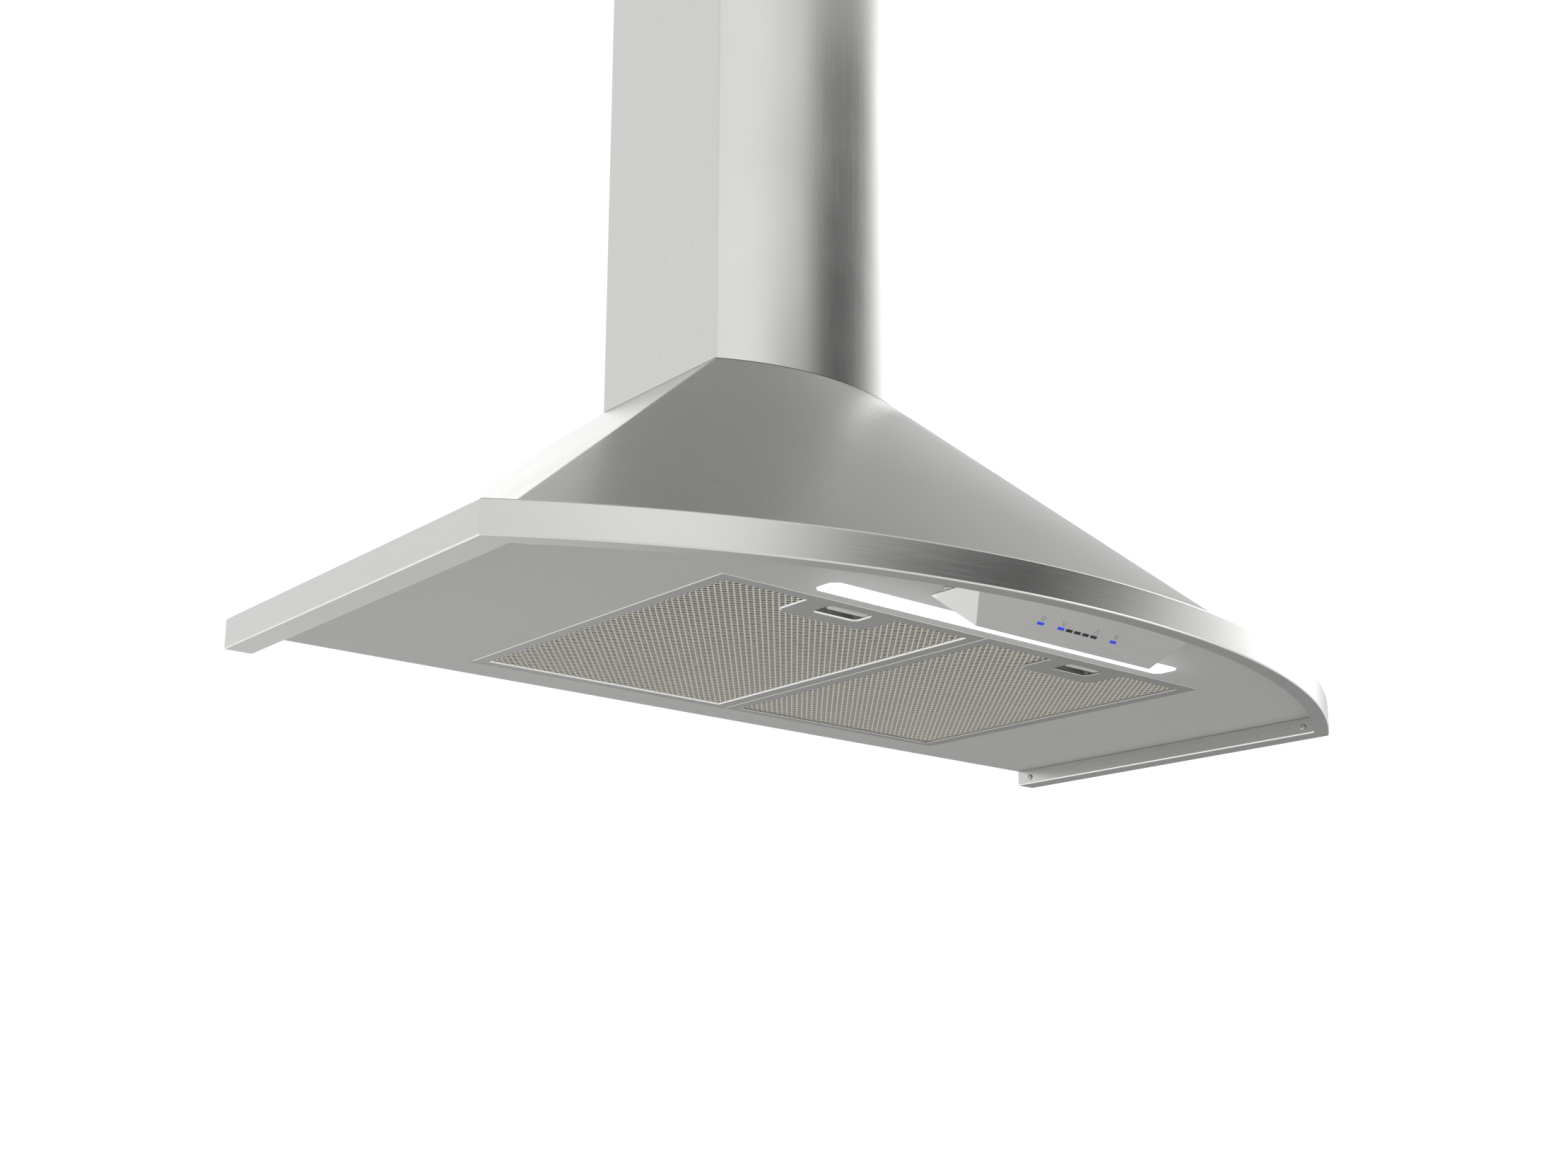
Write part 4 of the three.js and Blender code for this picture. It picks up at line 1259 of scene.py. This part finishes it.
@dataclass
class InnerWorks:
    """The blower, the wiring and the brackets, which keep the frame's shapes."""

    looks: dict[Finish, tuple[str, ...]] = field(default_factory=lambda: {
        ZINC: (
            "canopy_top_deck", "back_plate", "filter_bay_frame", "hanger_plate_left", "hanger_plate_right",
            "blower_bracket_left", "blower_bracket_right", "scroll_half_left", "scroll_half_right",
            "light_tray", "motor_bracket", "impeller", "cover_bracket",
        ),
        BLACK: (
            "light_driver", "inlet_ring", "outlet_collar", "damper_flap_front", "damper_flap_rear",
            "junction_box", "junction_cover", "cable_gland",
        ),
        PLATED: ("motor_shaft", "damper_pin", "latch_tongue_left", "latch_tongue_right"),
        BOARD: ("led_strip", "control_board"),
        MOTOR: ("motor_body",),
        GREY: ("motor_capacitor",),
    })

    def build(self) -> None:
        """Dresses every node that keeps its shape."""
        for look, names in self.looks.items():
            for name in names:
                dress_node(name, look)


# ---- studio


@dataclass(frozen=True)
class Patch:
    """A soft round patch of the surroundings, in degrees.

    Attributes:
        azimuth: from the front towards the right.
        elevation: above the horizon.
        inner: how far from its middle it is full.
        outer: how far from its middle it is gone.
        strength: how much light it takes away or adds.
        top: the heights, as sines, between which it fades out upwards.
    """

    azimuth: float
    elevation: float
    inner: float
    outer: float
    strength: float
    top: tuple[float, float] = (1.0, 2.0)

    def signal(self, shader: Shader) -> Signal:
        """Its strength inside the patch and 0 outside, in the world's tree."""
        a, e = math.radians(self.azimuth), math.radians(self.elevation)
        middle = (math.sin(a) * math.cos(e), -math.cos(a) * math.cos(e), math.sin(e))
        inputs = {0: shader.place("Generated"), 1: middle}
        nearness = shader.signal("ShaderNodeVectorMath", {"operation": "DOT_PRODUCT"}, inputs, "Value")
        edges = (math.cos(math.radians(self.outer)), math.cos(math.radians(self.inner)))
        height = shader.part(shader.place("Generated"), 2)
        return nearness.ramp(*edges) * (1.0 - height.ramp(*self.top)) * self.strength


DIM_PATCHES = (
    Patch(44, 29, 5, 23, 0.9, (0.53, 0.61)),
    Patch(21, 15, 9, 26, 0.93, (0.31, 0.42)),
    Patch(126, 27, 10, 30, 0.55),
    Patch(124, -12, 8, 26, 0.54),
    Patch(81, -33, 3, 14, 0.25),
)
BRIGHT_PATCHES = (
    Patch(90, 26, 10, 22, 1.4),
    Patch(155, 24, 14, 40, 0.5),
    Patch(-10, 24, 8, 22, 0.2),
    Patch(-155, -43, 14, 34, 0.42),
    Patch(50, -20, 6, 17, 1.2),
)


@dataclass
class Studio:
    """Pale floor, soft surroundings and the camera."""

    floor_drop: float = 1.45
    floor_size: float = 40.0
    floor_tones: tuple[Colour, Colour] = ((0.8, 0.8, 0.79), (0.86, 0.86, 0.85))
    floor_roughness: float = 0.8
    mottle_scale: float = 3.0
    ceiling_dimming: float = 0.65
    ceiling_heights: tuple[float, float] = (0.6, 0.86)
    ground_light: float = 0.7
    ground_heights: tuple[float, float] = (-0.12, 0.04)
    backdrop_light: float = 1.05
    lamp_drop: float = 0.02
    lamp_energy: float = 0.018
    camera_place: Vector = field(default_factory=lambda: Vector((-0.9837, -1.258, -0.5375)))
    yaw: float = math.radians(40.76)
    pitch: float = math.radians(13.62)
    lens: float = 41.42
    shift: float = 0.06

    def build(self) -> None:
        """Sets the camera, the floor and the light."""
        self.build_camera()
        self.build_floor()
        self.build_surroundings()
        self.build_lamp()
        bpy.context.scene.view_settings.view_transform = "Standard"

    def build_camera(self) -> None:
        """Looks up at the hood from its front left."""
        data = bpy.data.cameras.new("camera")
        data.lens = self.lens
        data.shift_y = self.shift
        camera = add_object("camera", data)
        level = math.cos(self.pitch)
        heading = Vector((math.sin(self.yaw) * level, math.cos(self.yaw) * level, math.sin(self.pitch)))
        turn = heading.to_track_quat("-Z", "Y").to_matrix().to_4x4()
        camera.matrix_world = Matrix.Translation(self.camera_place) @ turn
        bpy.context.scene.camera = camera

    def build_floor(self) -> None:
        """Lays a pale floor well below the hood."""
        blank = bmesh.new()
        level = Matrix.Translation((0, 0, CAD_BOX[0][2] - self.floor_drop))
        bmesh.ops.create_grid(blank, x_segments=1, y_segments=1, size=self.floor_size / 2, matrix=level)
        data = bpy.data.meshes.new("floor")
        blank.to_mesh(data)
        blank.free()
        floor = add_object("floor", data)
        floor.visible_glossy = False
        paint = bpy.data.materials.new("floor_paint")
        paint.use_nodes = True
        shader = Shader(paint.node_tree)
        mottle = shader.noise(self.mottle_scale, detail=4.0)
        tint = shader.blend(mottle, *self.floor_tones)
        shader.cover({"Base Color": tint, "Roughness": self.floor_roughness})
        data.materials.append(paint)
        floor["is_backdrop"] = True

    def build_lamp(self) -> None:
        """Lets the lit diffuser brighten the panel round it."""
        low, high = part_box("light_lens")
        data = bpy.data.lights.new("lamp_glow", "AREA")
        data.shape = "RECTANGLE"
        data.size, data.size_y = high.x - low.x, high.y - low.y
        data.energy = self.lamp_energy
        glow = add_object("lamp_glow", data)
        middle = (low + high) / 2
        place = Vector((middle.x, middle.y, low.z - self.lamp_drop))
        glow.matrix_world = Matrix.Translation(place) @ Matrix.Rotation(math.pi, 4, "X")
        glow.visible_camera = False

    def build_surroundings(self) -> None:
        """Soft light all round, brighter to the right, with darker patches as in a real studio."""
        world = bpy.data.worlds.new("studio")
        world.use_nodes = True
        bpy.context.scene.world = world
        shader = Shader(world.node_tree)
        height = shader.part(shader.place("Generated"), 2)
        light = 1.0 - height.ramp(*self.ceiling_heights) * self.ceiling_dimming
        above = height.ramp(*self.ground_heights)
        light = light * (self.ground_light + above * (1.0 - self.ground_light))
        for patch in DIM_PATCHES:
            light = light * (1.0 - patch.signal(shader))
        for patch in BRIGHT_PATCHES:
            light = light + patch.signal(shader)
        white = (1.0, 1.0, 1.0, 1.0)
        lights = [
            shader.signal("ShaderNodeBackground", inputs={"Color": white, "Strength": strength})
            for strength in (light, self.backdrop_light)
        ]
        seen = shader.signal("ShaderNodeLightPath", output="Is Camera Ray")
        mixed = shader.signal("ShaderNodeMixShader", inputs={0: seen, 1: lights[0], 2: lights[1]})
        shader.node("ShaderNodeOutputWorld", inputs={"Surface": mixed})


def corners(box: Sequence[Sequence[float]]) -> list[list[float]]:
    """A box's two corners as plain numbers."""
    return [[float(value) for value in corner] for corner in box]


def main() -> None:
    """Builds the hood piece by piece."""
    logging.basicConfig(level=logging.INFO, format="%(message)s")
    Studio().build()
    sections = [
        Rim(),
        Canopy(),
        DuctCover("lower_duct_cover", "hood", Canopy().head.rise),
        DuctCover("upper_duct_cover", "upper_cover", Canopy().head.inset(COVER_NEST).rise),
        UndersidePanel(),
        LightBar(),
        ControlHousing(),
        *[IndicatorWindow(name, LIT_BLUE) for name in ("power_indicator", "fan_bar_1", "light_indicator")],
        *[IndicatorWindow(f"fan_bar_{count}", DARK_WINDOW) for count in range(2, 6)],
        *[GreaseFilter(side) for side in ("left", "right")],
        *[LatchPull(side) for side in ("left", "right")],
        *[PanScrew(f"control_screw_{side}", Facing.DOWN) for side in ("left", "right")],
        *[PanScrew(f"rim_screw_left_{place}", Facing.RIGHT) for place in ("front", "rear")],
        *[PanScrew(f"rim_screw_right_{place}", Facing.LEFT) for place in ("front", "rear")],
        InnerWorks(),
    ]
    for section in sections:
        section.build()
    {"cad": corners(CAD_BOX), "visual": corners(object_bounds())}


if __name__ == "__main__":
    main()
